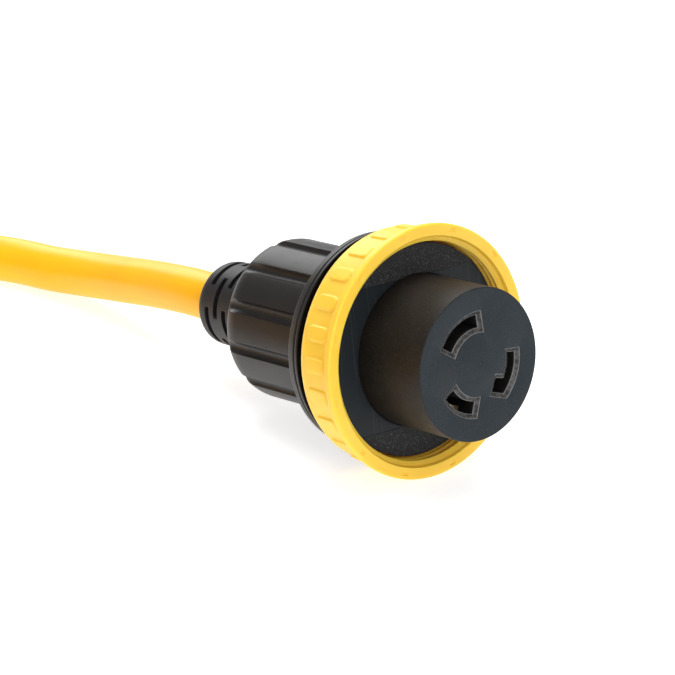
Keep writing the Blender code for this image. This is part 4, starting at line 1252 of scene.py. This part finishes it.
def prong(name, middle, wide, thick, reach, node, finish):
    """A prong: a rounded section carried along its length. Over the last part, from TAPER_START on, its
    size is the root of 1 less TAPER_TAKES t squared."""
    turn = np.linspace(0.0, 2 * np.pi, 28, endpoint=False)
    power = 0.25 if wide != thick else 1.0
    across, along_side = squared_off(np.cos(turn), power) / 2, squared_off(np.sin(turn), power) / 2
    share = np.concatenate([[0.0], np.linspace(TAPER_START, 1.0, 9)])
    tapered = np.maximum(share - TAPER_START, 0.0) / (1.0 - TAPER_START)
    size = np.sqrt(np.maximum(1.0 - tapered**2 * TAPER_TAKES, 0.0))[:, None]
    is_round = wide == thick
    lean = np.arctan2(middle[1], middle[0]) if is_round else math.radians(45.0 if middle[0] > 0 else 135.0)
    long_way = np.array([math.cos(lean), math.sin(lean)])
    flat_way = np.array([-long_way[1], long_way[0]])
    spot = (across[None, :, None] * (wide - (1 - size) * thick * 0.8)[..., None]) * long_way
    spot = spot + (along_side[None, :, None] * (size * thick)[..., None]) * flat_way
    right, up = spot[..., 0] + middle[0], spot[..., 1] + middle[1]
    ahead = np.broadcast_to((-1.0 * MM + share * (reach + 1.0 * MM))[:, None], right.shape)
    corners = in_plug(right, up, ahead)
    ends = corners[[0, -1]].mean(axis=1)
    corners = np.concatenate([corners.reshape(-1, 3), ends])
    made = make_piece(name, corners, capped(*right.shape), finish, sharp=50.0)
    return stands_for(made, "root", "brass", node)


# %% The metals
def metal_finish(name, colour, dark, roughness):
    """Plated or plain metal: drawn streaks, small dull patches and a metallic shader."""
    made = Finish(name, colour, roughness, metallic=1.0)
    streaks = made.noise(0.0006, 2.0, vector=made.stretched((0.05, 1.0, 1.0)))
    patches = made.noise(0.003, 3.0)
    made.tint(made.mix(patches.between(0.45, 0.75) * 0.6, rgba(*colour), rgba(*dark)))
    made.rough(roughness - 0.08 + streaks * 0.16 + patches * 0.1)
    made.relief(streaks, 0.00002)
    return made.material


BRASS = metal_finish("brass", (0.82, 0.68, 0.40), (0.55, 0.42, 0.22), 0.26)
STEEL = metal_finish("zinc_plated_steel", (0.68, 0.69, 0.71), (0.50, 0.50, 0.50), 0.28)
prongs = [
    prong("blade_hot", (-9.5 * MM, 2.5 * MM), 7.9 * MM, 1.6 * MM, 21.0 * MM, "plug_hot_blade", BRASS),
    prong("blade_neutral", (9.5 * MM, 2.5 * MM), 7.9 * MM, 1.6 * MM, 21.0 * MM, "plug_neutral_blade", BRASS),
    prong("pin_ground", (0.0, -9.0 * MM), 4.8 * MM, 4.8 * MM, 24.0 * MM, "plug_ground_pin", BRASS),
]

# %% [markdown]
# ## What stays as it was designed
# The contacts, screws, clamp and conductors keep their CAD shapes: they sit inside the housing and
# show only as glints deep in the slots. Each still gets its own finish.

# %% Finishes for the inner pieces
def core_finish(name, colour, dark):
    """Conductor insulation: faint streaks of the extruder and a soft gloss."""
    made = Finish(name, colour, 0.4)
    streaks = made.noise(0.0012, 3.0)
    made.tint(made.mix(streaks.between(0.4, 0.7) * 0.5, rgba(*colour), rgba(*dark)))
    made.rough(0.34 + streaks * 0.15)
    made.relief(streaks, 0.00002)
    return made.material


INNER = {
    NYLON: ("front_collar", "clamp_upper", "clamp_lower"),
    STEEL: (
        *(f"collar_screw_{k}" for k in (1, 2, 3)),
        *(f"clamp_screw_{k}" for k in (1, 2)),
        *(f"{line_name}_terminal_screw" for line_name in ("hot", "neutral", "ground")),
    ),
    BRASS: tuple(f"{line_name}_contact" for line_name in ("hot", "neutral", "ground")),
    jacket_finish("jacket_inside", False): ("jacket_end",),
    core_finish("black_insulation", (0.02, 0.02, 0.02), (0.05, 0.05, 0.05)): ("hot_conductor",),
    core_finish("white_insulation", (0.80, 0.80, 0.77), (0.66, 0.66, 0.62)): ("neutral_conductor",),
    core_finish("green_insulation", (0.04, 0.36, 0.10), (0.03, 0.25, 0.07)): ("ground_conductor",),
}
for finish, names in INNER.items():
    for name in names:
        for holder in frame["nodes"][name].material_slots:
            holder.material = finish
print("finished", sum(len(names) for names in INNER.values()), "inner pieces")

# %% [markdown]
# ## Studio
# A white floor under a pale surround, with one broad soft box overhead and weaker ones in front and
# behind. The floor glows a little, so it burns out to white except close to the pieces.

# %% Floor, surround and soft boxes
FLOOR_GLOW = 0.72


def floor_finish():
    """White studio paper, lit a little from behind: hardly any tone, a trace of fibre."""
    made = Finish(
        "studio_paper",
        (0.62, 0.62, 0.62),
        0.9,
        specular_ior_level=0.1,
        emission_color=(1.0, 1.0, 1.0, 1.0),
        emission_strength=FLOOR_GLOW,
    )
    fibre = made.noise(0.004, 4.0)
    made.tint(made.mix(fibre.between(0.3, 0.7), rgba(0.61, 0.61, 0.61), rgba(0.63, 0.63, 0.63)))
    made.rough(0.86 + fibre * 0.06)
    made.relief(fibre, 0.00002)
    return made.material


FLOOR_HALF = 6.0
floor = make_piece(
    "studio_floor",
    [(FLOOR_HALF * x, FLOOR_HALF * y, 0) for x, y in ((-1, -1), (1, -1), (1, 1), (-1, 1))],
    [np.array([[0, 1, 2, 3]])],
    floor_finish(),
)

SURROUND = 0.42


def soft_box(name, place, aim, size, power):
    """A square area light that faces a place."""
    lamp = bpy.data.lights.new(name, "AREA")
    lamp.shape = "SQUARE"
    lamp.size = size
    lamp.energy = power
    holder = bpy.data.objects.new(name, lamp)
    bpy.context.scene.collection.objects.link(holder)
    toward = Vector(aim) - Vector(place)
    turn = toward.to_track_quat("-Z", "Y").to_matrix().to_4x4()
    holder.matrix_world = Matrix.Translation(Vector(place)) @ turn


world = bpy.data.worlds.new("surround")
world.use_nodes = True
world.node_tree.nodes["Background"].inputs["Color"].default_value = (1.0, 1.0, 1.0, 1.0)
world.node_tree.nodes["Background"].inputs["Strength"].default_value = SURROUND
bpy.context.scene.world = world
bpy.context.scene.view_settings.view_transform = "Standard"
soft_box("overhead", (-0.15, 0.15, 1.3), (-0.02, 0.0, 0.03), 1.1, 17.0)
soft_box("front", (1.3, -0.5, 0.7), (0.03, 0.0, 0.03), 0.9, 8.0)
soft_box("back", (-1.25, 0.45, 0.75), (-0.04, 0.0, 0.04), 0.8, 7.0)
